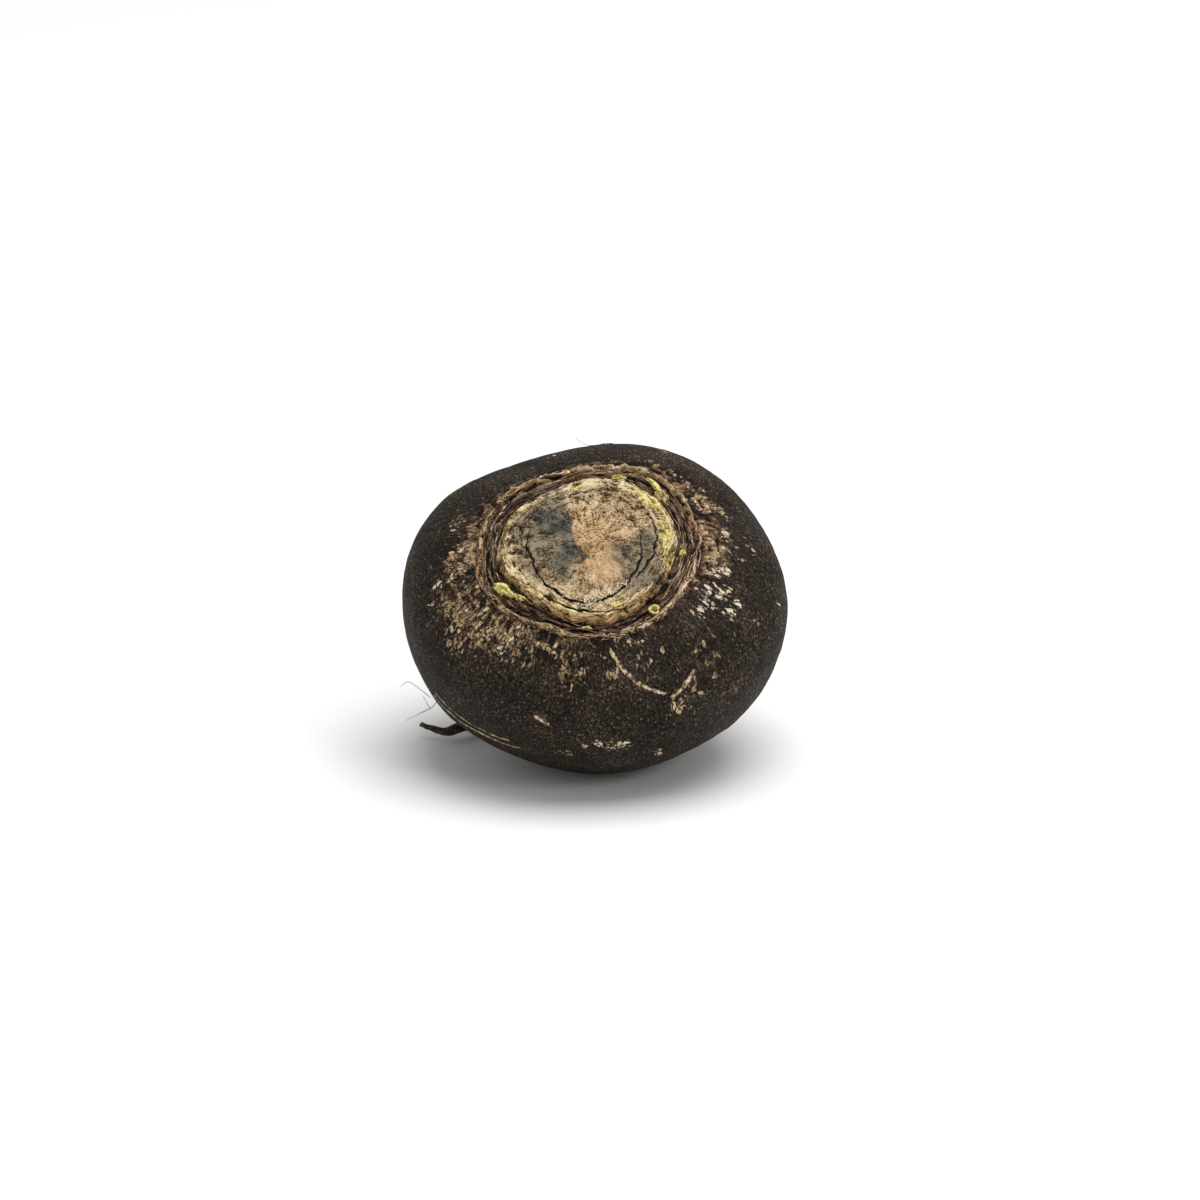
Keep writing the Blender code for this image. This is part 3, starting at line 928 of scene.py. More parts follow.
@dataclass
class Skin:
    """The dark skin from the crown's outer ring down to the neck."""

    form: RootForm
    # The distances from the axis between which the skin sinks under the crown, and how deep
    sink_from: float = 27.5
    sink_to: float = 25.9
    sink_depth: float = 7.0
    # The distance from the axis of the brown bark round the crown, and its spread
    bark_radius: float = 27.4
    bark_spread: float = 1.5
    # Size, height and seed of the skin's swells
    lumps: Rows = ((9, 0.14, 1), (4, 0.08, 2), (1.8, 0.05, 3))
    # How far the skin lies in, so that its swells stay inside the solid's box
    drawn_in: float = 0.22
    # The height of the folds that counts as level
    level: float = 0.55
    # Brown cork islands: broad groups left, below and right of the crown, and single ones
    islands: tuple[Patch, ...] = (
        Patch(-160, 32, 4.2, 3.6, 1.0),
        Patch(-170, 30, 3.6, 2.2, 0.85),
        Patch(-152, 28, 4.0, 3.0, 0.9),
        Patch(-145, 32.5, 3.6, 2.0, 0.95),
        Patch(-136, 29, 3.4, 2.4, 0.75),
        Patch(-127.5, 31.5, 2.2, 2.6, 1.15),
        Patch(-119.5, 36.2, 2.8, 1.1, 1.05),
        Patch(-144, 24, 3.5, 2.0, 0.45),
        Patch(-143, 18.5, 2.6, 1.4, 0.55),
        Patch(-117, 29, 3.2, 1.6, 0.55),
        Patch(-105, 33.5, 6.0, 0.9, 0.75),
        Patch(-98, 27.3, 1.6, 1.7, 1.1),
        Patch(-92, 28.4, 0.7, 1.5, 0.8),
        Patch(-81.6, 27.2, 0.5, 1.8, 1.0),
        Patch(-78.5, 28, 0.5, 0.8, 0.9),
        Patch(-70, 37.5, 2.0, 0.9, 1.0),
        Patch(-64, 27, 2.5, 2.5, 0.22),
        Patch(-44, 24, 5.0, 3.0, 0.20),
        Patch(11.6, 39, 1.7, 1.4, 0.9),
        Patch(2, 37, 2.6, 1.2, 0.85),
        Patch(35, 34.5, 3.0, 1.6, 1.0),
        Patch(28, 29.6, 1.6, 0.9, 0.6),
        Patch(46, 36, 4.5, 2.0, 0.55),
        Patch(165, 29, 1.3, 0.9, 1.1),
        Patch(150, 40, 5.0, 1.8, 0.20),
        Patch(178, 37, 3.0, 2.0, 0.55),
        Patch(-95.4, -3.8, 1.3, 0.8, 0.9),
        Patch(-65.6, -5.8, 1.3, 0.8, 0.7),
        Patch(-59.2, 11.8, 0.6, 0.8, 1.1),
        Patch(-53, 17, 2.4, 1.6, 0.30),
        # Short cracks across the back and the sides
        Patch(95, 8, 3.5, 0.6, 0.55),
        Patch(62, -12, 2.6, 0.5, 0.55),
        Patch(128, -4, 3.0, 0.6, 0.50),
        Patch(80, -30, 4.0, 0.5, 0.55),
        Patch(150, -28, 2.5, 0.5, 0.50),
        Patch(34, -24, 2.5, 0.5, 0.50),
        Patch(110, 24, 2.0, 0.6, 0.45),
        Patch(64, 22, 1.4, 0.8, 0.50),
        Patch(146, 14, 1.2, 0.7, 0.55),
        Patch(176, -30, 1.8, 0.6, 0.50),
        Patch(100, -14, 16.0, 9.0, 0.06),
    )
    # Pale flakes, mostly right of the crown and in the group low at the front
    flakes: tuple[Patch, ...] = (
        Patch(-7, 36.3, 2.0, 0.9, 0.75),
        Patch(-4.4, 32.6, 1.0, 0.8, 1.1),
        Patch(-20.5, 37.4, 0.8, 1.3, 1.0),
        Patch(-23.5, 34.8, 0.8, 0.9, 1.0),
        Patch(-17.6, 31.6, 1.2, 1.0, 1.0),
        Patch(-13.6, 30.0, 0.8, 0.9, 0.85),
        Patch(-31, 34, 0.9, 0.8, 0.95),
        Patch(-27, 32, 1.0, 0.7, 0.85),
        Patch(-22.4, 26.4, 0.9, 0.8, 1.1),
        Patch(-16.8, 25.6, 0.6, 0.6, 0.90),
        Patch(5, 29, 4.5, 3.5, 0.17),
        Patch(14.8, 31.3, 0.75, 0.6, 1.3),
        Patch(-18.8, 17.6, 0.6, 0.9, 0.60),
        Patch(-5.6, 15.2, 0.25, 1.2, 0.90),
        Patch(33, 37, 2.0, 0.9, 0.75),
        Patch(25, 28.5, 1.2, 0.8, 0.50),
        Patch(-80.2, 2.6, 3.6, 0.8, 0.60),
        Patch(-86.3, 3.6, 0.7, 0.6, 1.1),
        Patch(-167, 23.2, 0.5, 1.0, 1.0),
        Patch(-127, 30, 0.7, 1.8, 0.75),
        Patch(-158, 21, 4.0, 3.0, 0.12),
        Patch(-56, 13, 3.0, 2.5, 0.12),
    )
    warm_patches: tuple[Patch, ...] = (
        Patch(-157, 32, 6, 4.0, 0.55),
        Patch(-132, 32, 7, 2.5, 0.45),
        Patch(178, 37, 4.5, 2.2, 0.85),
        Patch(150, 40, 8, 2.0, 0.85),
        Patch(120, 41, 9, 1.4, 0.8),
        Patch(16, 36.5, 6.0, 2.6, 0.75),
        Patch(-2, 36, 4, 2.5, 0.45),
        Patch(45, 37, 8, 2.5, 0.65),
        Patch(-100, 26, 5, 2.5, 0.28),
        Patch(-44, 24, 7, 3.5, 0.25),
        Patch(-38, 8, 4, 1.8, 0.30),
        Patch(-104, 11, 2.4, 1.4, 0.35),
        Patch(-95, -5, 9, 2.0, 0.18),
    )
    # The middle of the nested folds right of the crown, their spacing and their reach
    whorl: tuple[float, float, float, float] = (10, 37, 1.9, 8.0)
    scars: tuple[Scar, ...] = (
        Scar("scar_long", ((-80, 36), (-77.2, 30.8), (-71.6, 24.8), (-67.2, 20.8), (-61.2, 18)), 0.42),
        Scar("scar_short", ((-60.6, 16.2), (-54.8, 18.4), (-48.8, 21.6)), 0.44),
        Scar("scar_low", ((-107.2, 11.6), (-104.4, 10.8), (-101.2, 9.6)), 0.45),
        Scar("fissure_outer", ((-148.4, -11), (-138, -13.5), (-130, -13), (-116, -8.4), (-110, -8)), 0.32),
        Scar("fissure_inner", ((-146.8, -7.6), (-138, -10.5), (-126.4, -8), (-114, -5)), 0.26),
    )

    def build(self) -> Piece:
        """Makes the skin.

        Returns:
            The skin.
        """
        mesh = fine_ball("skin")
        ball = read_places(mesh)
        ball /= np.linalg.norm(ball, axis=1)[:, None]
        azimuth = np.degrees(np.arctan2(ball[:, 1], ball[:, 0]))
        latitude = np.degrees(np.arcsin(np.clip(ball[:, 2], -1, 1)))
        radius, height = self.form.turned(latitude)
        beside = radius - self.form.crown_shift(azimuth)
        under_crown = (1 - smooth(beside, self.sink_to, self.sink_from)) * (latitude > 0)
        own = self.form.grown(azimuth, radius, height)
        travel = np.radians(90 - latitude) * FLANK_MM
        ring = np.stack([np.cos(np.radians(azimuth)), np.sin(np.radians(azimuth)), travel], -1)
        fold, depth = self.folds(own, ring, beside, latitude)
        lumps = sum(swell * grain(own, size, seed) for size, swell, seed in self.lumps)
        out = lumps - self.drawn_in + depth * (fold - self.level) - self.sink_depth * under_crown
        way = own / np.linalg.norm(own, axis=1)[:, None]
        placed = self.form.on_table(own + way * out[:, None])
        placed[:, 2] = np.maximum(placed[:, 2], 0)
        write_places(mesh, placed)
        add_numbers(mesh, "ring", ring)
        add_numbers(mesh, "fold", fold)
        shown = [sum(patch.share(azimuth, latitude, radius) for patch in patches)
                 for patches in (self.islands, self.flakes, self.warm_patches)]
        add_numbers(mesh, "healed", np.clip(shown[0] + shown[1], 0, 1))
        add_numbers(mesh, "cream", np.clip(1.6 * shown[1] / (shown[0] + shown[1] + 0.15), 0, 1))
        rim = 0.9 * bell(beside - self.bark_radius, self.bark_spread) * (latitude > 0)
        rim = rim * (0.7 + 0.6 * grain(own, 5, 61))
        add_numbers(mesh, "warm", np.clip(rim + shown[2], 0, 1))
        for scar in self.scars:
            add_numbers(mesh, scar.name, scar.line(self.form, own))
        finish = CorkSkin(scars=tuple(scar.name for scar in self.scars))
        return finished("skin", mesh, finish.made())

    def folds(self, own: Places, ring: Places, beside: Numbers, latitude: Numbers) -> tuple[Numbers, Numbers]:
        """Dried folds of the shoulder: round the crown, out from it, and nested at the right.

        Args:
            own: own places.
            ring: cosine and sine of the azimuth, and the way travelled from the crown's middle.
            beside: distance from the axis, less the crown ring's shift.
            latitude: degrees above the equator.

        Returns:
            The folds between 0 and 1, and how high they stand in millimetres.
        """
        above = latitude > 0
        round_crown = ridged(ring * (7.0, 7.0, 0.75) + 0.35 * grain(own, 3, 4)[:, None], 1.0, 5)
        outwards = ridged(ring * (21.0, 21.0, 0.16) + 0.30 * grain(own, 3, 6)[:, None], 1.0, 7)
        azimuth = np.degrees(np.arctan2(ring[:, 1], ring[:, 0]))
        outward_share = 0.38 * (1 - 0.85 * facing(azimuth, 105, 42))
        fold = round_crown + outward_share * (outwards - round_crown)
        middle_azimuth, middle_latitude, spacing, reach = self.whorl
        middle = np.array(self.form.surface(middle_azimuth, middle_latitude))
        away = np.linalg.norm(own - middle, axis=1)
        nested = 0.5 + 0.5 * np.cos(2 * math.pi * (away + 0.5 * grain(own, 2.5, 8)) / spacing)
        share = 0.9 * smooth(-away, -reach, -0.5 * reach) * smooth(away, 1.5, 3.5) * smooth(own[:, 1], 6, 12)
        fold = fold + share * (nested - fold)
        depth = 0.06 + 0.50 * bell(beside - 29, 3.2) * above + 0.25 * share
        return fold, depth


@dataclass(frozen=True)
class DarkLine:
    """A thin dark line round the crown: where it lies, how it wanders, and where it shows."""

    radius: float
    wander: float
    size: float
    seed: int
    width: float
    azimuth: float
    spread: float
    strength: float = 1.0

    def share(self, own: Places, radius: Numbers, azimuth: Numbers) -> Numbers:
        """How strong the line is at each vertex."""
        away = radius - self.radius + self.wander * rough(own, self.size, self.seed)
        return self.strength * bell(away, self.width) * facing(azimuth, self.azimuth, self.spread)


@dataclass
class CrownPlate:
    """The crown's cork plate, the groove round it and the papery outer ring, with its underside closed."""

    form: RootForm
    # Radius, height, wobble sideways, wobble up and down, share of the plate's bays
    stations: Rows = (
        (0.0, 24.5, 0.0, 0.0, 0.0),
        (5.0, 24.6, 0.0, 0.10, 0.0),
        (10.0, 24.6, 0.2, 0.12, 0.1),
        (14.4, 24.4, 0.4, 0.12, 0.3),
        (15.6, 24.2, 0.4, 0.10, 0.3),
        (16.8, 24.0, 0.4, 0.10, 0.35),
        (19.2, 23.9, 0.3, 0.15, 0.7),
        (20.8, 24.1, 0.4, 0.20, 1.0),
        (21.6, 23.6, 0.5, 0.20, 1.0),
        (21.8, 21.9, 0.5, 0.20, 1.0),
        (22.5, 21.1, 0.4, 0.25, 0.8),
        (23.4, 21.8, 0.3, 0.25, 0.5),
        (24.0, 21.2, 0.3, 0.25, 0.4),
        (24.8, 22.1, 0.3, 0.25, 0.2),
        (25.4, 21.6, 0.3, 0.20, 0.1),
        (26.4, 22.9, 0.4, 0.20, 0.0),
        (27.3, 22.5, 0.4, 0.15, 0.0),
        (27.7, 20.6, 0.3, 0.10, 0.0),
    )
    under: Rows = ((27.0, 18.0), (20.0, 16.0), (0.0, 16.0))
    top_share: float = 0.93
    sideways_phase: float = 0.9
    upward_phase: float = 2.3
    phase_step: float = 0.06
    # Azimuth, distance outwards and spread
    plate_bays: Rows = (
        (28, 1.0, 14), (125, -0.9, 12), (197, 0.7, 9), (236, -0.7, 9), (275, 0.7, 18), (312, -3.1, 24),
        (352, -1.3, 12), (10, -1.6, 30))
    # Azimuth and radius of the ring crack, and of the second one at the right
    crack: Rows = (
        (-180, 16.1), (-160, 15.3), (-149, 15.9), (-134, 16.5), (-118, 16.6), (-110, 17.2), (-94, 17.4),
        (-76, 15.9), (-60, 14.6), (-42, 13.2), (-20, 12.1), (17, 11.8), (27, 12.3), (51, 11.9), (77, 13.4),
        (95, 14.7), (113, 14.8), (134, 14.5), (154, 14.3), (167, 16.0), (180, 16.1))
    crack_right: Rows = (
        (-60, 14.6), (-30, 13.9), (-13, 14.5), (10, 15.5), (30, 16.6), (50, 17.0))
    # The tan hour-glass in the disc's middle: y, left edge and right edge, looking at the crown
    hour_glass: Rows = (
        (-16.0, -5.5, 7.0), (-12.0, -3.9, 7.6), (-8.0, -2.2, 5.2), (-5.5, -0.8, 4.4), (-2.2, -2.2, 4.2),
        (2.6, -4.4, 5.2), (7.0, -5.6, 7.6), (12.0, -6.0, 9.5), (16.0, -6.0, 10.0))
    # x, y and spread of the smooth place in the hour-glass
    smooth_place: tuple[float, float, float] = (3.0, -7.0, 3.6)
    # x, y, radius and strength of the mould, looking at the crown
    grey_stains: Rows = (
        (-9.5, 6.5, 6.0, 1.0), (-13.5, 0.0, 6.5, 0.75), (-8.0, -1.5, 5.0, 0.8), (-7.0, -8.5, 5.0, 0.65),
        (-14.0, 8.0, 4.5, 0.7), (11.5, -4.0, 5.0, 0.80), (14.0, 3.5, 4.0, 0.8), (10.5, -9.5, 4.5, 0.65),
        (-16.8, 3.5, 4.0, 0.6), (-16.0, -4.0, 3.2, 0.4), (-8.5, 15.5, 5.0, 0.75), (0.0, 15.2, 4.5, 0.75),
        (9.0, 13.0, 3.0, 0.15), (-13.5, -9.0, 3.0, 0.35), (16.5, -8.0, 3.0, 0.4))
    blue_stains: Rows = (
        (-7.8, 5.8, 4.6, 1.25), (-6.6, -7.0, 3.9, 0.62), (-5.2, -1.6, 2.2, 1.0), (-1.7, -5.2, 1.6, 0.75),
        (7.4, -2.2, 3.2, 0.62), (13.8, 4.0, 2.6, 0.75), (11.5, -7.0, 3.0, 0.4), (-12.5, 9.0, 3.6, 0.7))
    # x, y, radius and strength of dark knots in the cork
    knots: Rows = (
        (-10.0, -16.0, 1.1, 0.62), (-2.7, -18.4, 0.6, 0.50), (0.25, -3.4, 0.35, 0.6),
        (-1.5, -11.2, 0.35, 0.6), (-4.2, -8.4, 0.35, 0.6), (-5.0, 0.9, 0.5, 0.5), (9.4, 8.6, 0.4, 0.5))
    # Azimuth, radius, spread round, spread across and strength of the yellow-green flesh
    green_marks: Rows = (
        (24, 19.1, 6.0, 0.9, 1.2), (3, 18.1, 4.0, 0.8, 1.1), (44, 19.4, 4.0, 0.8, 0.9),
        (234, 19.4, 6.5, 1.2, 0.42), (157, 22.3, 2.6, 1.2, 1.2), (108, 19.6, 2.6, 0.8, 0.9),
        (264, 20.2, 4.0, 0.8, 0.35), (291, 18.6, 1.6, 0.7, 0.9))
    # Azimuth, radius, spread round, spread across and strength of pale smooth flesh
    pale_marks: Rows = (
        (38, 17.3, 2.0, 1.1, 1.0), (115, 19.6, 3.0, 0.6, 0.8), (75, 20.0, 5.0, 0.5, 0.6),
        (12, 20.2, 6.0, 0.7, 0.55), (185, 19.8, 5.0, 0.6, 0.6), (215, 18.6, 4.0, 0.6, 0.4))
    # The crack between the rim's layers at the front, as a colour and, a little wider, as a groove
    rim_crack: DarkLine = DarkLine(19.6, 0.35, 2.4, 36, 0.20, 276, 20)
    rim_groove: DarkLine = DarkLine(19.6, 0.35, 2.4, 36, 0.22, 276, 20, strength=0.5)
    # Broken dark lines on the rim: at the back, at the left and in front
    rim_lines: tuple[DarkLine, ...] = (
        DarkLine(17.8, 0.7, 2.6, 37, 0.25, 95, 50, strength=0.6),
        DarkLine(18.6, 0.8, 2.2, 38, 0.25, 180, 38, strength=0.4),
        DarkLine(19.4, 0.6, 3.2, 39, 0.20, 255, 30, strength=0.6),
    )
    # The first station that lies in the groove, the one past which no mark shows, and the outer ring's crest
    groove_station: float = 9.1
    marks_end: float = 10.6
    crest_station: float = 15.4
    # How deep the fine relief is on the disc, on the rim and in the groove
    disc_depth: float = 0.28
    rim_depth: float = 0.42
    groove_depth: float = 0.52
    crack_depth: float = 0.5
    crack_step: float = 0.34
    # The height of a ridged pattern that counts as level
    level: float = 0.42

    def crack_at(self, azimuth: Numbers) -> Numbers:
        """Radius of the ring crack at each azimuth."""
        return np.interp(turn_gap(azimuth, 0), *np.array(self.crack).T)

    def profile(self) -> tuple[Numbers, Numbers, Numbers]:
        """Places close together along the top.

        Returns:
            Their shares of the way, their stations and their radii.
        """
        last = len(self.stations) - 1
        station = np.linspace(0, last, 60 * last)
        line = through([row[:2] for row in self.stations], station)
        length = np.concatenate([[0], np.cumsum(np.hypot(*np.diff(line, axis=0).T))])
        return self.top_share * length / length[-1], station, np.maximum.accumulate(line[:, 0])

    def share_at(self, radius: Numbers) -> Numbers:
        """How far along the profile a plain radius is."""
        share, _, radii = self.profile()
        return np.interp(radius, radii, share)

    def laid(self, azimuth: Numbers, share: Numbers) -> dict[str, Numbers]:
        """Places of the crown's surface, with all that its relief and finish need.

        Args:
            azimuth: degrees round the crown.
            share: how far along the profile, 0 in the middle and 1 at the underside's middle.

        Returns:
            Own places with the relief, azimuth, plain and real radius, station, places in the crown's round
            by the plain radius (ring) and by the way travelled (round), and the distance from the crack.
        """
        rows = np.array([*self.stations, *((radius, height, 0, 0, 0) for radius, height in self.under)])
        last_top = len(self.stations) - 1
        top_shares, samples, _ = self.profile()
        on_top = np.interp(share, top_shares, samples)
        below = last_top + (share - self.top_share) / (1 - self.top_share) * len(self.under)
        station = np.where(share <= self.top_share, on_top, below)
        curved = through(rows, station)
        straight = np.stack([np.interp(station, np.arange(len(rows)), column) for column in rows.T], -1)
        plain, height, aside, up, bay_share = np.where(station[:, None] <= last_top, curved, straight).T
        plain = np.maximum(plain, 0)

        # The plate's bays, the wobble, and the shift of the outer ring
        sideways = bay_share * bays(azimuth, self.plate_bays)
        phase = self.phase_step * station
        sideways = sideways + aside * self.form.wobble(azimuth, self.sideways_phase + phase)
        ring_shift = self.form.crown_shift(azimuth) * smooth(station, 9.0, 15.0)
        sideways = (sideways + ring_shift + self.ragged_edges(azimuth, station)) * smooth(plain, 0, 6)
        lift = up * self.form.wobble(azimuth, self.upward_phase + phase)
        lift = lift - self.form.shoulder_fall * ring_shift
        own = self.form.grown(azimuth, plain, height, sideways, lift)

        a = np.radians(azimuth)
        unrolled = plain + 1.2 * (self.stations[0][1] - height)
        spot = {"azimuth": azimuth, "plain": plain, "radius": plain + sideways, "station": station,
                "ring": np.stack([np.cos(a), np.sin(a), plain], -1),
                "round": np.stack([np.cos(a), np.sin(a), unrolled], -1), "own": own}
        spot["crack"] = spot["radius"] - self.crack_at(azimuth) + 0.38 * rough(own, 1.9, 31, 3)
        # The relief, and painted light and shade from it: lighter on the crests, darker in the hollows
        out, spot["tone"] = self.relief(spot)
        out = out * (share < self.top_share)
        # The relief stands sideways on the plate's wall and upwards elsewhere
        edge_on = smooth(station, 7.4, 8.2) * smooth(-station, -9.6, -8.8)
        flat = directions(azimuth, np.zeros_like(azimuth))
        way = flat * edge_on[:, None] + UP * (1 - edge_on)[:, None]
        spot["own"] = own + way * out[:, None]
        return spot

    def ragged_edges(self, azimuth: Numbers, station: Numbers) -> Numbers:
        """Torn fibres of the plate's edge and of the papery ring, as a sideways shift.

        Args:
            azimuth: degrees round the crown.
            station: how far along the stations.

        Returns:
            A shift outwards for each place.
        """
        a = np.radians(azimuth)
        round_edge = np.stack([21 * np.cos(a), 21 * np.sin(a), 0.3 * station], -1)
        tear = 0.55 * rough(round_edge, 3.2, 21, 4) * (1 + 0.6 * facing(azimuth, 245, 40))
        fringe = 0.45 * rough(round_edge, 1.2, 22, 3)
        on_plate = tear * bell(station - 8.4, 1.3)
        on_ring = 0.7 * tear * bell(station - 15.2, 0.9) + fringe * bell(station - 15.9, 0.8)
        return on_plate + on_ring

    def build(self) -> Piece:
        """Makes the crown.

        Returns:
            The crown.
        """
        mesh = fine_ball("crown")
        ball = read_places(mesh)
        ball /= np.linalg.norm(ball, axis=1)[:, None]
        azimuth = np.degrees(np.arctan2(ball[:, 1], ball[:, 0]))
        share = np.degrees(np.arccos(np.clip(ball[:, 2], -1, 1))) / 180
        spot = self.laid(azimuth, share)
        write_places(mesh, self.form.on_table(spot["own"]))
        green = self.marks(spot, self.green_marks)
        x, y, spread = self.smooth_place
        middle = 0.9 * bell(np.hypot(spot["own"][:, 0] - x, spot["own"][:, 1] - y), spread)
        for name, values in (("ring", spot["ring"]),
                             ("round", spot["round"]),
                             ("crack", self.dark_marks_and_painted_shadow(spot)),
                             ("stain", self.blots(spot, self.grey_stains)),
                             ("blue", self.blots(spot, self.blue_stains)),
                             ("green", green),
                             ("pale", self.pale(spot)),
                             # Painted light and shade that follow the relief: lighter crests, darker hollows
                             ("tone", spot["tone"]),
                             ("calm", np.maximum(middle, 0.40 * green))):
            add_numbers(mesh, name, values)
        return finished("crown", mesh, CrownCork().made())

    def dark_marks_and_painted_shadow(self, spot: dict[str, Numbers]) -> Numbers:
        """How dark the cracks are, with a painted shadow beside the second crack, 0 to 1.

        Args:
            spot: what `laid` knows of each vertex.

        Returns:
            A number for each vertex.
        """
        azimuth, radius, own, crack = (spot[name] for name in ("azimuth", "radius", "own", "crack"))
        strong = 0.85 + 0.20 * facing(azimuth, 225, 45) + 0.30 * facing(azimuth, 280, 25)
        ring = bell(crack, 0.17) * strong * (0.85 + 0.35 * grain(own, 1.1, 33))

        # The second crack at the right, with a painted shadow beside it
        turned = turn_gap(azimuth, 0)
        beside = radius - np.interp(turned, *np.array(self.crack_right).T)
        near_right = smooth(turned, -55, -35) * smooth(-turned, -48, -30)
        second = bell(beside + 0.45 * rough(own, 1.5, 34), 0.20) * near_right * 0.75
        shadow = bell(beside + 1.1 + 0.7 * rough(own, 1.2, 35, 3), 0.7)
        shadow = shadow * facing(azimuth, -14, 13) * 0.42

        # Lines on the rim, the frayed cork in front, and knots
        lines = self.rim_crack.share(own, radius, azimuth)
        lines = lines + sum(line.share(own, spot["plain"], azimuth) for line in self.rim_lines)
        frayed = 0.9 * bell(rough(own, 1.5, 52), 0.07) * bell(crack + 0.3, 1.1)
        frayed = frayed * facing(azimuth, 285, 30)
        knots = sum(strength * bell(np.hypot(own[:, 0] - x, own[:, 1] - y), size)
                    for x, y, size, strength in self.knots)
        return np.clip(ring + second + shadow + lines + frayed + knots, 0, 1)

    def blots(self, spot: dict[str, Numbers], rows: Rows) -> Numbers:
        """Mottled stains at places of the crown, kept out of the hour-glass.

        Args:
            spot: what `laid` knows of each vertex.
            rows: x, y, radius and strength of each stain.

        Returns:
            Their strength at each vertex, 0 to 1.
        """
        own = spot["own"]
        x, y = own[:, 0] + 1.2 * rough(own, 4, 41), own[:, 1] + 1.2 * rough(own, 4, 43)
        total = sum(strength * bell(np.hypot(x - at, y - to), size / 1.35) for at, to, size, strength in rows)
        levels, left, right = np.array(self.hour_glass).T
        wander = 0.9 * rough(own, 2.4, 44)
        outside = np.maximum(np.interp(y, levels, left) - x, x - np.interp(y, levels, right)) + wander
        inner = smooth(-outside, -0.9, 1.1)
        return np.clip(total * (1 - 0.95 * inner) * (0.85 + 0.35 * rough(own, 2.2, 46)), 0, 1)

    def marks(self, spot: dict[str, Numbers], rows: Rows) -> Numbers:
        """Marks on the rim, long round the crown and narrow across it.

        Args:
            spot: what `laid` knows of each vertex.
            rows: azimuth, radius, spread round, spread across and strength of each mark.

        Returns:
            Their strength at each vertex, 0 to 1.
        """
        wander = spot["radius"] + 0.6 * rough(spot["own"], 2.5, 45)
        total = 0.0
        for middle, at, wide, tall, strength in rows:
            beside = np.radians(turn_gap(spot["azimuth"], middle)) * at
            total = total + strength * bell(beside, wide) * bell(wander - at, tall)
        return np.clip(total, 0, 1) * (spot["station"] < self.marks_end)

    def pale(self, spot: dict[str, Numbers]) -> Numbers:
        """Papery crests: the plate's edge, the outer ring, and the torn cork along the ring crack.

        Args:
            spot: what `laid` knows of each vertex.

        Returns:
            How pale each vertex is, 0 to 1.
        """
        azimuth, plain, own = (spot[name] for name in ("azimuth", "plain", "own"))
        right = 0.34 + 0.95 * facing(azimuth, -48, 40) + 1.0 * facing(azimuth, 85, 30)
        streaky = smooth(rough(spot["round"] * (11.0, 11.0, 2.0), 1.0, 53, 3), -0.28, 0.26)
        wide = 0.9 * (0.55 + 0.45 * facing(azimuth, -70, 50))
        ring = bell(plain - 26.8 + 0.4 * rough(own, 3, 47), wide) * right * (0.16 + 0.84 * streaky)
        broken = smooth(rough(own, 2.4, 50, 3), -0.25, 0.35)
        edge = 0.8 * bell(plain - 20.7 + 0.5 * rough(own, 3, 48), 0.40) * (spot["station"] < 8.8) * broken
        torn = 1.3 * bell(spot["crack"] + 0.1, 1.1) * facing(azimuth, 274, 26)
        torn = torn * smooth(grain(spot["ring"] * (22, 22, 0.5), 1.0, 51), 0.0, 0.3)
        return np.clip(ring + edge + torn + self.marks(spot, self.pale_marks), 0, 1)

    def relief(self, spot: dict[str, Numbers]) -> tuple[Numbers, Numbers]:
        """The crown's fine relief, and the painted light and shade that follow it.

        Args:
            spot: what `laid` knows of each vertex.

        Returns:
            How far each vertex stands out of the smooth crown, in millimetres, and its painted light and
            shade, 0 to 1.
        """
        own, ring, azimuth, station = (spot[name] for name in ("own", "ring", "azimuth", "station"))
        crack, plain, radius = (spot[name] for name in ("crack", "plain", "radius"))
        on_disc = smooth(-plain, -16.5, -14.5)
        in_groove = smooth(station, self.groove_station, self.groove_station + 0.8)
        on_rim = np.clip(1 - on_disc - in_groove, 0, 1)
        on_ring = bell(station - self.crest_station - 0.2, 0.9)

        # Grit, rays from the middle, shelves of the rim, strands of the groove and scales of the ring
        grit = rough(own, 1.5, 11, 3)
        rays = rough(ring * (13.0, 13.0, 0.40), 1.0, 14, 3) * smooth(plain, 2.0, 7.0)
        bent = spot["round"] + 0.25 * grain(own, 4, 20)[:, None]
        shelves = ridged(bent * (6.0, 6.0, 1.3), 1.0, 21) - self.level
        strands = ridged(bent * (2.8, 2.8, 1.6), 1.0, 27) - self.level
        scales = ridged(bent * (11.0, 11.0, 2.2), 1.0, 29) - self.level

        # What each part of the crown takes of them, with sides that stand out or lie low. Through the painted
        # light and shade, the rim is also lighter in front and darker at the left, and the groove darker in
        # front and lighter at the back.
        disc = 0.38 * grit + 0.36 * rays
        rim = 0.42 * grit + 1.15 * shelves + 0.25 * rays + 0.12
        rim = rim + 0.28 * facing(azimuth, 262, 38) - 0.16 * facing(azimuth, 190, 32)
        groove = 0.25 * grit + 2.3 * (1 - 0.5 * on_ring) * strands + 1.7 * on_ring * scales - 0.42
        groove = groove - 0.30 * facing(azimuth, 258, 36) + 0.34 * facing(azimuth, 130, 24)
        fine = on_disc * disc + on_rim * rim + in_groove * groove
        fine = fine + 0.50 * bell(station - self.crest_station, 0.6)
        depth = self.disc_depth * on_disc + self.rim_depth * on_rim + self.groove_depth * in_groove
        height = fine * depth + 0.16 * grain(own, 3.2, 13)

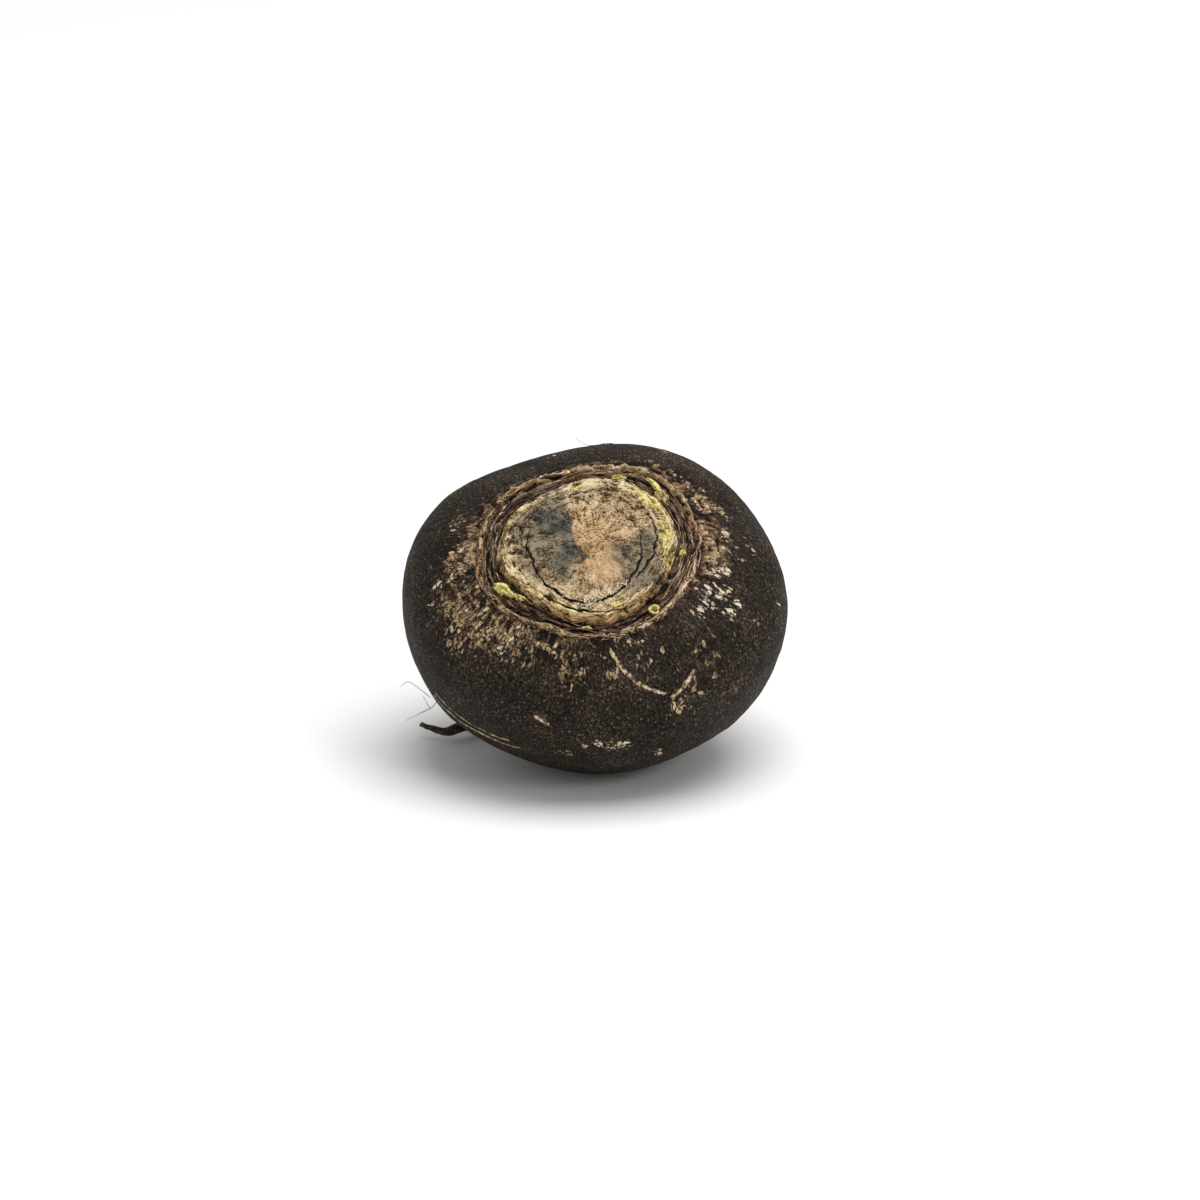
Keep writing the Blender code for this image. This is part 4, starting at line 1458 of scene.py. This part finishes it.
        # The ring crack, short cracks across it in front, the crack in the rim, and the ring's crest
        height = height - self.crack_step * smooth(crack, -0.4, 0.4)
        open_at = 0.5 + 0.5 * facing(azimuth, 235, 55)
        height = height - self.crack_depth * bell(crack, 0.18) * open_at
        across = 0.30 * grain(ring * (24.0, 24.0, 0.4), 1.0, 15)
        height = height + across * bell(crack, 1.2) * facing(azimuth, 270, 32)
        height = height - self.rim_groove.share(own, radius, azimuth)
        crest = 0.60 * bell(station - self.crest_station + 0.2, 0.9)
        height = height + crest * rough(ring * (19.0, 19.0, 0.8), 1.0, 17, 3)
        # Painted light and shade: the crests are lighter and the hollows darker
        return height, np.clip(0.5 + 0.45 * fine, 0, 1)


@dataclass(frozen=True)
class Stalk:
    """One cut leaf stalk and its make: rows of own x, y and z, half its width and half its height."""

    name: str
    line: Rows
    fresh: bool = True
    splinters: int = 0
    torn: float = 0.3
    bore: float = 0.0


@dataclass
class LeafStalks:
    """Cut and torn leaf stalks round the plate: torn ones are bundles of splinters, cut ones smooth pegs."""

    form: RootForm
    stalks: tuple[Stalk, ...] = (
        Stalk("chip_large", (
            (-23.6, -11.7, 21.7, 0.7, 0.6), (-22.6, -12.5, 22.3, 1.4, 0.9), (-21.5, -13.2, 22.6, 1.7, 1.0),
            (-20.5, -13.9, 22.5, 1.4, 0.9), (-19.4, -14.7, 22.3, 1.0, 0.7), (-18.3, -15.4, 22.0, 0.7, 0.4),
        ), splinters=32, torn=0.8),
        Stalk("chip_tail", (
            (-18.9, -14.8, 22.4, 0.6, 0.5), (-17.4, -15.6, 22.6, 0.8, 0.5), (-15.8, -16.5, 22.4, 0.5, 0.3),
        ), splinters=10, torn=0.9),
        Stalk("chip_tan", (
            (-20.7, -1.8, 23.6, 0.9, 0.6), (-22.0, -3.4, 23.3, 1.0, 0.7), (-23.2, -5.0, 22.6, 0.6, 0.5),
        ), fresh=False, splinters=10, torn=0.3),
        Stalk("strip_top", (
            (4.0, 22.1, 22.8, 0.6, 0.5), (5.8, 21.9, 23.3, 0.8, 0.6), (7.6, 21.2, 22.9, 0.7, 0.5),
        ), splinters=9),
        Stalk("drop_right", (
            (21.2, 0.6, 20.6, 0.7, 0.8), (21.4, 0.0, 22.5, 0.75, 0.8), (21.4, -0.6, 23.4, 0.5, 0.6))),
        Stalk("bit_front", (
            (-1.9, -23.9, 22.0, 0.5, 0.5), (-0.6, -23.7, 22.4, 0.7, 0.5), (0.7, -23.6, 22.0, 0.5, 0.4),
        ), splinters=7),
        Stalk("bit_back", (
            (-7.6, 24.5, 22.2, 0.4, 0.4), (-6.9, 24.8, 22.6, 0.6, 0.5), (-6.0, 25.2, 22.2, 0.4, 0.4),
        ), splinters=7),
        Stalk("lying_stick", (
            (12.2, 21.4, 22.9, 0.45, 0.4), (13.6, 20.1, 23.3, 0.6, 0.55), (15.1, 18.3, 23.4, 0.7, 0.65),
            (16.2, 16.7, 23.2, 0.6, 0.55),
        ), splinters=9, torn=0.2),
        Stalk("lying_lump", (
            (14.9, 17.8, 22.9, 0.7, 0.6), (15.7, 16.4, 23.4, 1.3, 0.9), (16.6, 14.8, 23.4, 1.3, 0.8),
            (17.3, 13.4, 22.9, 0.8, 0.5),
        ), fresh=False, splinters=20, torn=0.5),
        Stalk("hollow_stub", (
            (15.3, -17.0, 20.4, 1.15, 1.05), (15.4, -17.2, 21.8, 1.2, 1.1), (15.4, -17.5, 23.0, 1.3, 1.25),
        ), bore=0.66),
    )
    # How thick a splinter is at each of its rows
    splinter_sizes: tuple[float, ...] = (0.45, 0.9, 1.0, 1.0, 0.85, 0.35)
    # How far in from the stalk's edge the splinters stay
    splinter_spread: float = 0.78
    sides: int = 44
    rows: int = 26
    seed: int = 11

    def build(self) -> list[Piece]:
        """Makes the stalks.

        Returns:
            Their pieces.
        """
        # Living petiole flesh, cut and still moist: yellow-green, with a soft gloss
        fresh = PlantFibre("cut_leaf_stalk", "82772F", "D0C66E", "F2EDB2", mottle_mm=0.8,
                           coat=Coat(roughness=0.5, specular=0.3, relief_mm=0.2)).made()
        # Dried petiole: straw-coloured, with brown flecks and no gloss
        dry = PlantFibre("dry_leaf_stalk", "5A4A2E", "A58C58", "E0CC98", mottle_mm=0.9,
                         coat=Coat(roughness=0.7, specular=0.2, relief_mm=0.2)).made()
        random = np.random.default_rng(self.seed)
        pieces = []
        for stalk in self.stalks:
            if stalk.splinters:
                routes = [self.splinter(stalk, random) for _ in range(stalk.splinters)]
                mesh = tubes(stalk.name, routes, points_per_span=4, sides=2)
            else:
                mesh = self.peg(stalk)
                self.bend(mesh, stalk)
            pieces.append(finished(stalk.name, mesh, fresh if stalk.fresh else dry))
        return pieces

    def frames(self, stalk: Stalk, at: Numbers) -> tuple[Places, Places, Places, Numbers, Numbers]:
        """Middles, sideways and upward directions and half sizes along a stalk.

        Args:
            stalk: the stalk.
            at: stations along its line, with fractions.

        Returns:
            Middles, directions sideways and over, half widths and half heights.
        """
        line = np.array(stalk.line)
        last = len(line) - 1
        rows = through(line, at)
        before, after = np.maximum(at - 0.05, 0), np.minimum(at + 0.05, last)
        ahead = through(line[:, :3], after) - through(line[:, :3], before)
        forward = ahead / np.linalg.norm(ahead, axis=1)[:, None]
        out = rows[:, :3] * (1, 1, 0)
        reference = np.where(np.abs(forward[:, 2:]) > 0.7, out, UP)
        side = np.cross(forward, reference)
        side /= np.linalg.norm(side, axis=1)[:, None]
        return rows[:, :3], side, np.cross(side, forward), rows[:, 3], rows[:, 4]

    def on_table(self, own: Places) -> Places:
        """Table places of a stalk's own places."""
        azimuth = np.degrees(np.arctan2(own[:, 1], own[:, 0]))
        return self.form.on_table(self.form.grown(azimuth, np.hypot(own[:, 0], own[:, 1]), own[:, 2]))

    def splinter(self, stalk: Stalk, random: np.random.Generator) -> Places:
        """Rows of x, y, z and radius of one splinter of a torn stalk.

        Args:
            stalk: the stalk.
            random: the seeded source of its unevenness.

        Returns:
            The splinter's rows, in millimetres on the table.
        """
        last = len(stalk.line) - 1
        start = last * random.uniform(0, 0.4 * stalk.torn)
        end = last * (1 - random.uniform(0, stalk.torn))
        rows = len(self.splinter_sizes)
        middle, side, over, half_wide, half_tall = self.frames(stalk, np.linspace(start, end, rows))
        turn = random.uniform(0, 2 * math.pi) + np.cumsum(random.normal(0, 0.12, rows))
        off = self.splinter_spread * math.sqrt(random.uniform(0, 1))
        own = middle + side * (np.cos(turn) * off * half_wide)[:, None]
        own = own + over * (np.sin(turn) * off * half_tall)[:, None]
        own = own + random.normal(0, 0.05 + 0.10 * stalk.torn, (rows, 3))
        size = (0.24 * half_wide + 0.10 * half_tall) * random.uniform(0.5, 1.2)
        return np.column_stack([self.on_table(own) / MM, size * np.array(self.splinter_sizes)])

    def peg(self, stalk: Stalk) -> Mesh:
        """A closed upright peg of radius and height 1 with close rows, hollow at its top if the stalk is.

        Args:
            stalk: the stalk.

        Returns:
            The peg, still straight.
        """
        bm = upright_tube(self.sides, self.rows, capped=True)
        for pick, bore in ((min, 0.0), (max, stalk.bore)):
            cap = pick(bm.faces, key=lambda face: face.calc_center_median().z)
            for _ in range(1 if bore else 3):
                bmesh.ops.inset_region(bm, faces=[cap], thickness=1 - bore if bore else 0.27)
            if bore:
                cap = bmesh.ops.extrude_discrete_faces(bm, faces=[cap])["faces"][0]
                bmesh.ops.translate(bm, verts=cap.verts[:], vec=(0, 0, -0.5))
            bmesh.ops.poke(bm, faces=[cap])
        bmesh.ops.recalc_face_normals(bm, faces=bm.faces)
        mesh = bpy.data.meshes.new(stalk.name)
        bm.to_mesh(mesh)
        bm.free()
        return mesh

    def bend(self, mesh: Mesh, stalk: Stalk) -> None:
        """Bends the peg along its line, rounds its cut and gives it a slightly three-cornered section.

        Args:
            mesh: the straight peg.
            stalk: its stalk.
        """
        peg = read_places(mesh)
        along = np.clip(peg[:, 2] + 0.5, 0, 1)
        turn = np.arctan2(peg[:, 1], peg[:, 0])
        size = np.hypot(peg[:, 0], peg[:, 1])
        middle, side, over, half_wide, half_tall = self.frames(stalk, along * (len(stalk.line) - 1))
        key = np.stack([1.3 * np.cos(turn), 1.3 * np.sin(turn), 1.5 * along], -1)
        swell = 1 + 0.12 * np.cos(3 * turn + 0.6) + 0.09 * rough(key, 1.0, 81, 2)
        swell = swell * (1 - 0.14 * smooth(along, 0.93, 1.0) * smooth(size, 0.8, 1.0))
        own = middle + side * (np.cos(turn) * size * half_wide * swell)[:, None]
        own = own + over * (np.sin(turn) * size * half_tall * swell)[:, None]
        own[:, 2] += 0.22 * rough(key, 1.0, 82, 2) * smooth(along, 0.8, 1.0)
        write_places(mesh, self.on_table(own))


@dataclass
class Roots:
    """The taproot with its fork, and the rootlets round the neck."""

    form: RootForm
    # Places on the table and radius
    taproot: Rows = (
        (-3.5, 23.8, 5.7, 2.7),
        (-4.4, 26.2, 3.9, 2.4),
        (-7.8, 27.6, 3.1, 2.1),
        (-13.5, 27.0, 2.7, 1.8),
        (-20.5, 22.5, 2.5, 1.55),
        (-27.5, 16.5, 2.6, 1.35),
        (-34.0, 11.0, 2.9, 1.1),
        (-37.0, 9.5, 2.2, 0.95),
        (-39.6, 10.0, 2.3, 0.80),
        (-44.6, 12.0, 3.4, 0.62),
    )
    fork: Rows = (
        (-39.4, 10.0, 2.4, 0.5),
        (-36.6, 9.2, 3.4, 0.75),
        (-34.0, 9.6, 5.0, 0.65),
    )
    # Azimuth, latitude, length, turn of the tip, radius
    rootlets: Rows = (
        (75, -70, 9.0, 50, 0.50),
        (150, -62, 7.0, -40, 0.45),
        (20, -64, 8.0, -60, 0.45),
        (110, -52, 6.0, 70, 0.40),
    )
    rootlet_sink: float = 1.6

    def build(self) -> list[Piece]:
        """Makes the roots.

        Returns:
            Their pieces.
        """
        # Shrivelled root bark: dark brown and dull, a little paler where it is rubbed
        dark = PlantFibre("dry_root", "17100C", "2E231C", "5A4638", mottle_mm=1.4).made()
        routes = [np.array(self.taproot), np.array(self.fork)]
        mesh = tubes("taproot", routes, points_per_span=14, sides=6)
        self.wrinkle(mesh, 0.16)
        pieces = [finished("taproot", mesh, dark)]
        mesh = tubes("rootlets", [self.rootlet(*row) for row in self.rootlets], points_per_span=10, sides=4)
        self.wrinkle(mesh, 0.05)
        pieces.append(finished("rootlets", mesh, dark))
        return pieces

    def wrinkle(self, mesh: Mesh, depth: float) -> None:
        """Wrinkles a dry root across and along its length.

        Args:
            mesh: the root.
            depth: how deep, in millimetres.
        """
        places = read_places(mesh) / MM
        normals = np.empty(len(mesh.vertices) * 3)
        mesh.vertices.foreach_get("normal", normals)
        out = depth * (rough(places, 1.6, 71, 3) + 0.5 * grain(places, 0.5, 73))
        places = places + normals.reshape(-1, 3) * out[:, None]
        places[:, 2] = np.maximum(places[:, 2], 0)
        write_places(mesh, places * MM)

    def rootlet(self, azimuth: float, latitude: float, length: float, turn: float, radius: float) -> Places:
        """Rows of a rootlet that leaves the flesh and bends round to one side.

        Args:
            azimuth: where it leaves.
            latitude: where it leaves.
            length: its length.
            turn: the side that it bends to, in degrees.
            radius: its thickness at the foot.

        Returns:
            Rows of x, y, z and radius.
        """
        matrix = self.form.lie()
        foot = matrix @ self.form.surface(azimuth, latitude)
        own_way = Vector(directions(np.array(azimuth), np.array(latitude)))
        way = (matrix.to_3x3() @ own_way).normalized()
        aside = Matrix.Rotation(math.radians(turn), 3, way) @ way.cross(Vector((0, 0, 1))).normalized()
        steps = ((-self.rootlet_sink, 0), (0.15 * length, 0.1 * length), (0.22 * length, 0.5 * length),
                 (0.1 * length, length))
        return np.array([(*(foot + way * out + aside * off), radius * (1 - 0.15 * i))
                         for i, (out, off) in enumerate(steps)])


@dataclass(frozen=True)
class TornSkin:
    """One torn skin round the crown: its foot's plain radius, its height, and how far its top leans out."""

    name: str
    radius: float
    height: float
    lean: float
    # Azimuth and spread of the places where it is whole
    whole: Rows
    seed: int
    papery: bool = False


@dataclass
class Membranes:
    """Thin torn skins that stand round the crown: what is left of old leaf bases."""

    form: RootForm
    plate: CrownPlate
    skins: tuple[TornSkin, ...] = (
        TornSkin("papery_ring", 26.3, 0.75, 0.25, ((-40, 42), (0, 30), (75, 28), (255, 26)), 1, papery=True),
        TornSkin("papery_ring_inner", 25.2, 0.60, 0.20, ((10, 32), (85, 26), (175, 22), (-70, 20)), 2,
                 papery=True),
        TornSkin("groove_skin", 24.2, 0.75, 0.15, ((-35, 30), (185, 30), (110, 30), (250, 24)), 3),
        TornSkin("groove_skin_inner", 23.2, 0.60, 0.10, ((20, 30), (200, 24), (130, 25), (-85, 24)), 4),
    )
    around: int = 900
    rows: int = 3
    thickness: float = 0.14
    # How far the foot is sunk into the crown
    sunk: float = 0.5

    def build(self) -> list[Piece]:
        """Makes the torn skins.

        Returns:
            Their pieces.
        """
        # Dead leaf-base skin, thin and bleached: pale tan and dull
        paper = PlantFibre("papery_skin", "5A4333", "A78765", "E6CDA8", mottle_mm=1.6).made()
        # The same skin in the groove, painted dark brown as shade: a shaded copy of the papery skin
        brown = PlantFibre("shaded_leaf_skin", "231812", "4E3B2E", "9C8164", mottle_mm=1.6).made()
        return [finished(skin.name, self.rim(skin), paper if skin.papery else brown)
                for skin in self.skins]

    def rim(self, skin: TornSkin) -> Mesh:
        """One torn skin, closed and with a real thickness.

        Args:
            skin: its sizes.

        Returns:
            Its mesh.
        """
        radius, seed = skin.radius, skin.seed
        bm = upright_tube(self.around, self.rows, capped=False)
        mesh = bpy.data.meshes.new(skin.name)
        bm.to_mesh(mesh)
        wall = read_places(mesh)
        azimuth = np.degrees(np.arctan2(wall[:, 1], wall[:, 0]))
        up = wall[:, 2] + 0.5
        a = np.radians(azimuth)
        round_crown = np.stack([radius * np.cos(a), radius * np.sin(a), 3.0 * seed + 0 * a], -1)
        wander = radius + 0.45 * rough(round_crown, 6, 91 + seed, 2)
        spot = self.plate.laid(azimuth, self.plate.share_at(wander))
        kept = np.clip(sum(facing(azimuth, middle, spread) for middle, spread in skin.whole), 0, 1)
        torn = kept + 0.85 * rough(round_crown, 1.8, 95 + seed, 4) - 0.30
        top = skin.height * np.clip(torn * 1.3, 0, 1.15) - 0.25
        flat = directions(azimuth, np.zeros_like(azimuth))
        fold = skin.lean + 0.22 * rough(round_crown, 1.7, 99 + seed, 2)
        own = spot["own"] + flat * (up * fold)[:, None] + UP * (up * (top + self.sunk) - self.sunk)[:, None]
        for vert, place in zip(bm.verts, self.form.on_table(own)):
            vert.co = place
        bmesh.ops.recalc_face_normals(bm, faces=bm.faces)
        bmesh.ops.solidify(bm, geom=bm.faces[:], thickness=self.thickness * MM)
        bmesh.ops.recalc_face_normals(bm, faces=bm.faces)
        bm.to_mesh(mesh)
        bm.free()
        return mesh


@dataclass(frozen=True)
class Bundle:
    """Fibres of one kind that run round the crown: how many, and the least and the most of each size."""

    count: int
    sweep: tuple[float, float]
    radius: tuple[float, float]
    thickness: tuple[float, float]
    lift: float
    # Radii of the ridges that the fibres keep to, with their own radius counted from there
    ridges: tuple[float, ...] = ()
    # Middle azimuth and spread of where they are dense. Without it they are all round.
    dense: tuple[float, float] | None = None

    def drawn(self, random: np.random.Generator) -> tuple[float, float, float, float]:
        """Start, sweep, radius and thickness of the next fibre.

        Args:
            random: the seeded source.

        Returns:
            The four numbers, for `round_strand`.
        """
        start = random.normal(*self.dense) if self.dense else random.uniform(0, 360)
        sweep = random.uniform(*self.sweep)
        ridge = random.choice(self.ridges) if self.ridges else 0.0
        radius = ridge + random.uniform(*self.radius)
        return start, sweep, radius, random.uniform(*self.thickness)


@dataclass
class Strands:
    """Fine loose fibres: in the groove, along the ring crack, and the hairs on the flanks."""

    form: RootForm
    plate: CrownPlate
    seed: int = 5
    groove: Bundle = Bundle(80, sweep=(15, 60), radius=(22.4, 26.2), thickness=(0.10, 0.26), lift=0.15)
    papery: Bundle = Bundle(84, sweep=(8, 34), radius=(-0.4, 0.4), thickness=(0.07, 0.15), lift=0.22,
                            ridges=(22.2, 23.6, 24.8, 25.6, 26.4, 26.9))
    papery_right: Bundle = Bundle(34, sweep=(10, 30), radius=(22.6, 26.0), thickness=(0.06, 0.13), lift=0.24,
                                  dense=(5, 38))
    # Middle azimuth, spread and number of the fibres over the ring crack
    crack_fibres: tuple[float, float, int] = (272, 20, 34)
    # Places on the table: hairs over the top edge and at the lower left
    hairs: tuple[Rows, ...] = (
        ((-5.1, 31.5, 73.4), (-3.9, 31.0, 72.6), (-2.0, 30.0, 72.0), (0.3, 29.0, 72.4), (2.7, 28.5, 73.0),
         (4.6, 28.5, 72.8), (6.6, 28.5, 72.0)),
        ((-48.1, -12.0, 22.9), (-47.6, -11.5, 23.4), (-46.3, -10.5, 23.6), (-44.5, -9.4, 22.0),
         (-43.4, -8.5, 20.7), (-41.2, -7.6, 18.4)),
        ((-43.0, -5.0, 17.7), (-42.5, -5.4, 16.8), (-41.7, -6.2, 15.6), (-40.9, -7.0, 15.3),
         (-39.5, -7.3, 17.1), (-37.6, -7.2, 18.6)),
        ((-47.2, -10.5, 13.3), (-44.3, -9.2, 14.4), (-41.0, -8.0, 15.6)),
    )
    # Radius of a hair at its start and at its end
    hair_radius: tuple[float, float] = (0.05, 0.10)
    # Own places and radius of the curled fibre at the left
    curl: Rows = (
        (-23.2, 2.6, 22.6, 0.16), (-24.0, 4.2, 22.9, 0.2), (-23.8, 5.6, 23.3, 0.2), (-22.9, 6.2, 23.3, 0.16),
        (-22.5, 5.2, 22.7, 0.1))

    def on_crown(self, azimuth: Numbers, radius: Numbers, lift: Numbers) -> Places:
        """Table places in millimetres above the crown's surface."""
        spot = self.plate.laid(azimuth, self.plate.share_at(radius))
        return self.form.on_table(spot["own"] + UP * lift[:, None]) / MM

    def round_strand(self, random: np.random.Generator, start: float, sweep: float, radius: float,
                     thickness: float, lift: float) -> Places:
        """A fibre that follows the crown's round.

        Args:
            random: the seeded source of its unevenness.
            start: azimuth of its start.
            sweep: degrees that it runs round.
            radius: plain distance from the axis.
            thickness: its radius.
            lift: height above the surface.

        Returns:
            Rows of x, y, z and radius.
        """
        count = max(4, int(abs(sweep) / 5))
        azimuth = start + np.linspace(0, sweep, count)
        wander = radius + np.cumsum(random.normal(0, 0.12, count))
        height = lift + random.normal(0, 0.10, count)
        ends = np.minimum(np.arange(count), np.arange(count)[::-1])
        height = height - 0.3 * (ends == 0)
        size = thickness * random.uniform(0.7, 1.25, count) * np.where(ends == 0, 0.4, 1.0)
        return np.column_stack([self.on_crown(azimuth, wander, height), size])

    def crack_fibre(self, random: np.random.Generator, azimuth: float) -> Places:
        """A short white fibre that lies outwards over the ring crack.

        Args:
            random: the seeded source of its unevenness.
            azimuth: where it lies.

        Returns:
            Rows of x, y, z and radius.
        """
        inner = float(self.plate.crack_at(np.array(azimuth))) + random.uniform(-1.6, 0.5)
        reach = random.uniform(0.4, 1.3)
        lean = random.uniform(-5, 5)
        along = np.array((0, 0.5, 1))
        line = self.on_crown(azimuth + lean * along, inner + reach * along, np.array((-0.15, 0.12, 0.0)))
        return np.column_stack([line, np.array((0.10, 0.17, 0.08)) * random.uniform(0.6, 1.5)])

    def build(self) -> list[Piece]:
        """Makes the fibres.

        Returns:
            A piece for each kind.
        """
        # Bleached leaf-base fibre: pale tan
        tan = PlantFibre("papery_fibre", "5E4836", "AA8C6A", "EAD2AC", mottle_mm=1.8).made()
        # Old fibre in the groove: nearly as dark as the skin
        brown = PlantFibre("groove_fibre", "1B130F", "3D2E25", "7C634C", mottle_mm=2.0).made()
        # Freshly torn cork fibre: whitish
        white = PlantFibre("crack_fibre", "8E7B5F", "CDBE9F", "F2EAD2", mottle_mm=0.8).made()
        # Dry root hair: greyish brown
        hair = PlantFibre("dry_hair", "2A2019", "6B5A4A", "A8967F", mottle_mm=3.0).made()
        random = np.random.default_rng(self.seed)
        groove, papery, right = ([self.round_strand(random, *bundle.drawn(random), bundle.lift)
                                  for _ in range(bundle.count)]
                                 for bundle in (self.groove, self.papery, self.papery_right))
        curl = np.array(self.curl)
        curled = np.column_stack([self.form.on_table(curl[:, :3]) / MM, curl[:, 3]])
        crack = [self.crack_fibre(random, azimuth) for azimuth in random.normal(*self.crack_fibres)]
        hairs = [np.column_stack([np.array(line), np.linspace(*self.hair_radius, len(line))])
                 for line in self.hairs]
        return [finished(name, tubes(name, routes, points_per_span=4, sides=1), look)
                for name, routes, look, slot in (
                    ("groove_fibres", groove, brown, Slot.CROWN),
                    ("papery_fibres", [*papery, *right, curled], tan, Slot.CROWN),
                    ("crack_fibres", crack, white, Slot.CROWN),
                    ("hairs", hairs, hair, Slot.FIBRE))]


@dataclass
class Studio:
    """A pale floor, soft light from above and the camera at the photograph's angle."""

    form: RootForm
    # The camera's angle above the floor, its distance from the root's centre, and where it aims beside that
    elevation: float = 20.0
    distance: float = 995.0
    aim_right: float = 2.8
    aim_up: float = 1.3
    lens: float = 120.0
    sensor: float = 36.0
    floor_size: float = 8.0
    # How bright the white surround is
    surround_strength: float = 0.47
    # Name, place, width and power of each soft box, in metres and watts
    boxes: tuple[tuple[str, tuple[float, float, float], float, float], ...] = (
        ("top", (0.5, 0.1, 2.6), 2.2, 68.0),
        ("right", (1.1, -1.0, 1.0), 0.4, 4.0),
    )

    def build(self) -> None:
        """Makes the floor, the lights and the camera."""
        self.floor()
        self.lights()
        self.camera()

    def floor(self) -> None:
        """A floor of matt white paper, with a soft shadow and hardly any reflection."""
        bm = bmesh.new()
        bmesh.ops.create_grid(bm, x_segments=8, y_segments=8, size=self.floor_size / 2)
        mesh = bpy.data.meshes.new("floor")
        bm.to_mesh(mesh)
        bm.free()
        material, tree = new_material("white_paper_floor")
        shader = add(tree, "BsdfPrincipled", {"Base Color": linear("F2F2F1"), "Roughness": 0.7,
                                              "Specular IOR Level": 0.2})
        add(tree, "OutputMaterial", {"Surface": shader.outputs["BSDF"]})
        mesh.materials.append(material)
        floor = bpy.data.objects.new("floor", mesh)
        bpy.context.scene.collection.objects.link(floor)

    def lights(self) -> None:
        """A large soft box above, a smaller one to the right, and a white surround."""
        scene = bpy.context.scene
        scene.view_settings.view_transform = "Standard"
        scene.world = bpy.data.worlds.new("white_surround")
        scene.world.use_nodes = True
        backdrop = scene.world.node_tree.nodes["Background"]
        backdrop.inputs["Color"].default_value = linear("FFFFFF")
        backdrop.inputs["Strength"].default_value = self.surround_strength
        for name, place, size, power in self.boxes:
            light = bpy.data.lights.new(name, "AREA")
            light.shape = "SQUARE"
            light.size = size
            light.energy = power
            lamp = bpy.data.objects.new(name, light)
            lamp.location = place
            lamp.rotation_euler = (-Vector(place)).to_track_quat("-Z", "Y").to_euler()
            scene.collection.objects.link(lamp)

    def camera(self) -> None:
        """The camera, at the photograph's height and distance."""
        angle = math.radians(self.elevation)
        back = Vector((0, -math.cos(angle), math.sin(angle)))
        up = Vector((0, math.sin(angle), math.cos(angle)))
        data = bpy.data.cameras.new("camera")
        data.lens = self.lens
        data.sensor_width = self.sensor
        data.clip_start = 0.01
        data.clip_end = 100
        camera = bpy.data.objects.new("camera", data)
        place = Vector(self.form.centre) + back * self.distance + Vector((1, 0, 0)) * self.aim_right
        camera.location = (place + up * self.aim_up) * MM
        camera.rotation_euler = (-back).to_track_quat("-Z", "Y").to_euler()
        bpy.context.scene.collection.objects.link(camera)
        bpy.context.scene.camera = camera


def main() -> None:
    """Builds the studio and the root's pieces in order."""
    logging.basicConfig(level=logging.INFO, format="%(name)s: %(message)s")
    form = RootForm()
    plate = CrownPlate(form)
    Studio(form).build()
    Skin(form).build()
    plate.build()
    LeafStalks(form).build()
    Membranes(form, plate).build()
    Roots(form).build()
    Strands(form, plate).build()


if __name__ == "__main__":
    main()
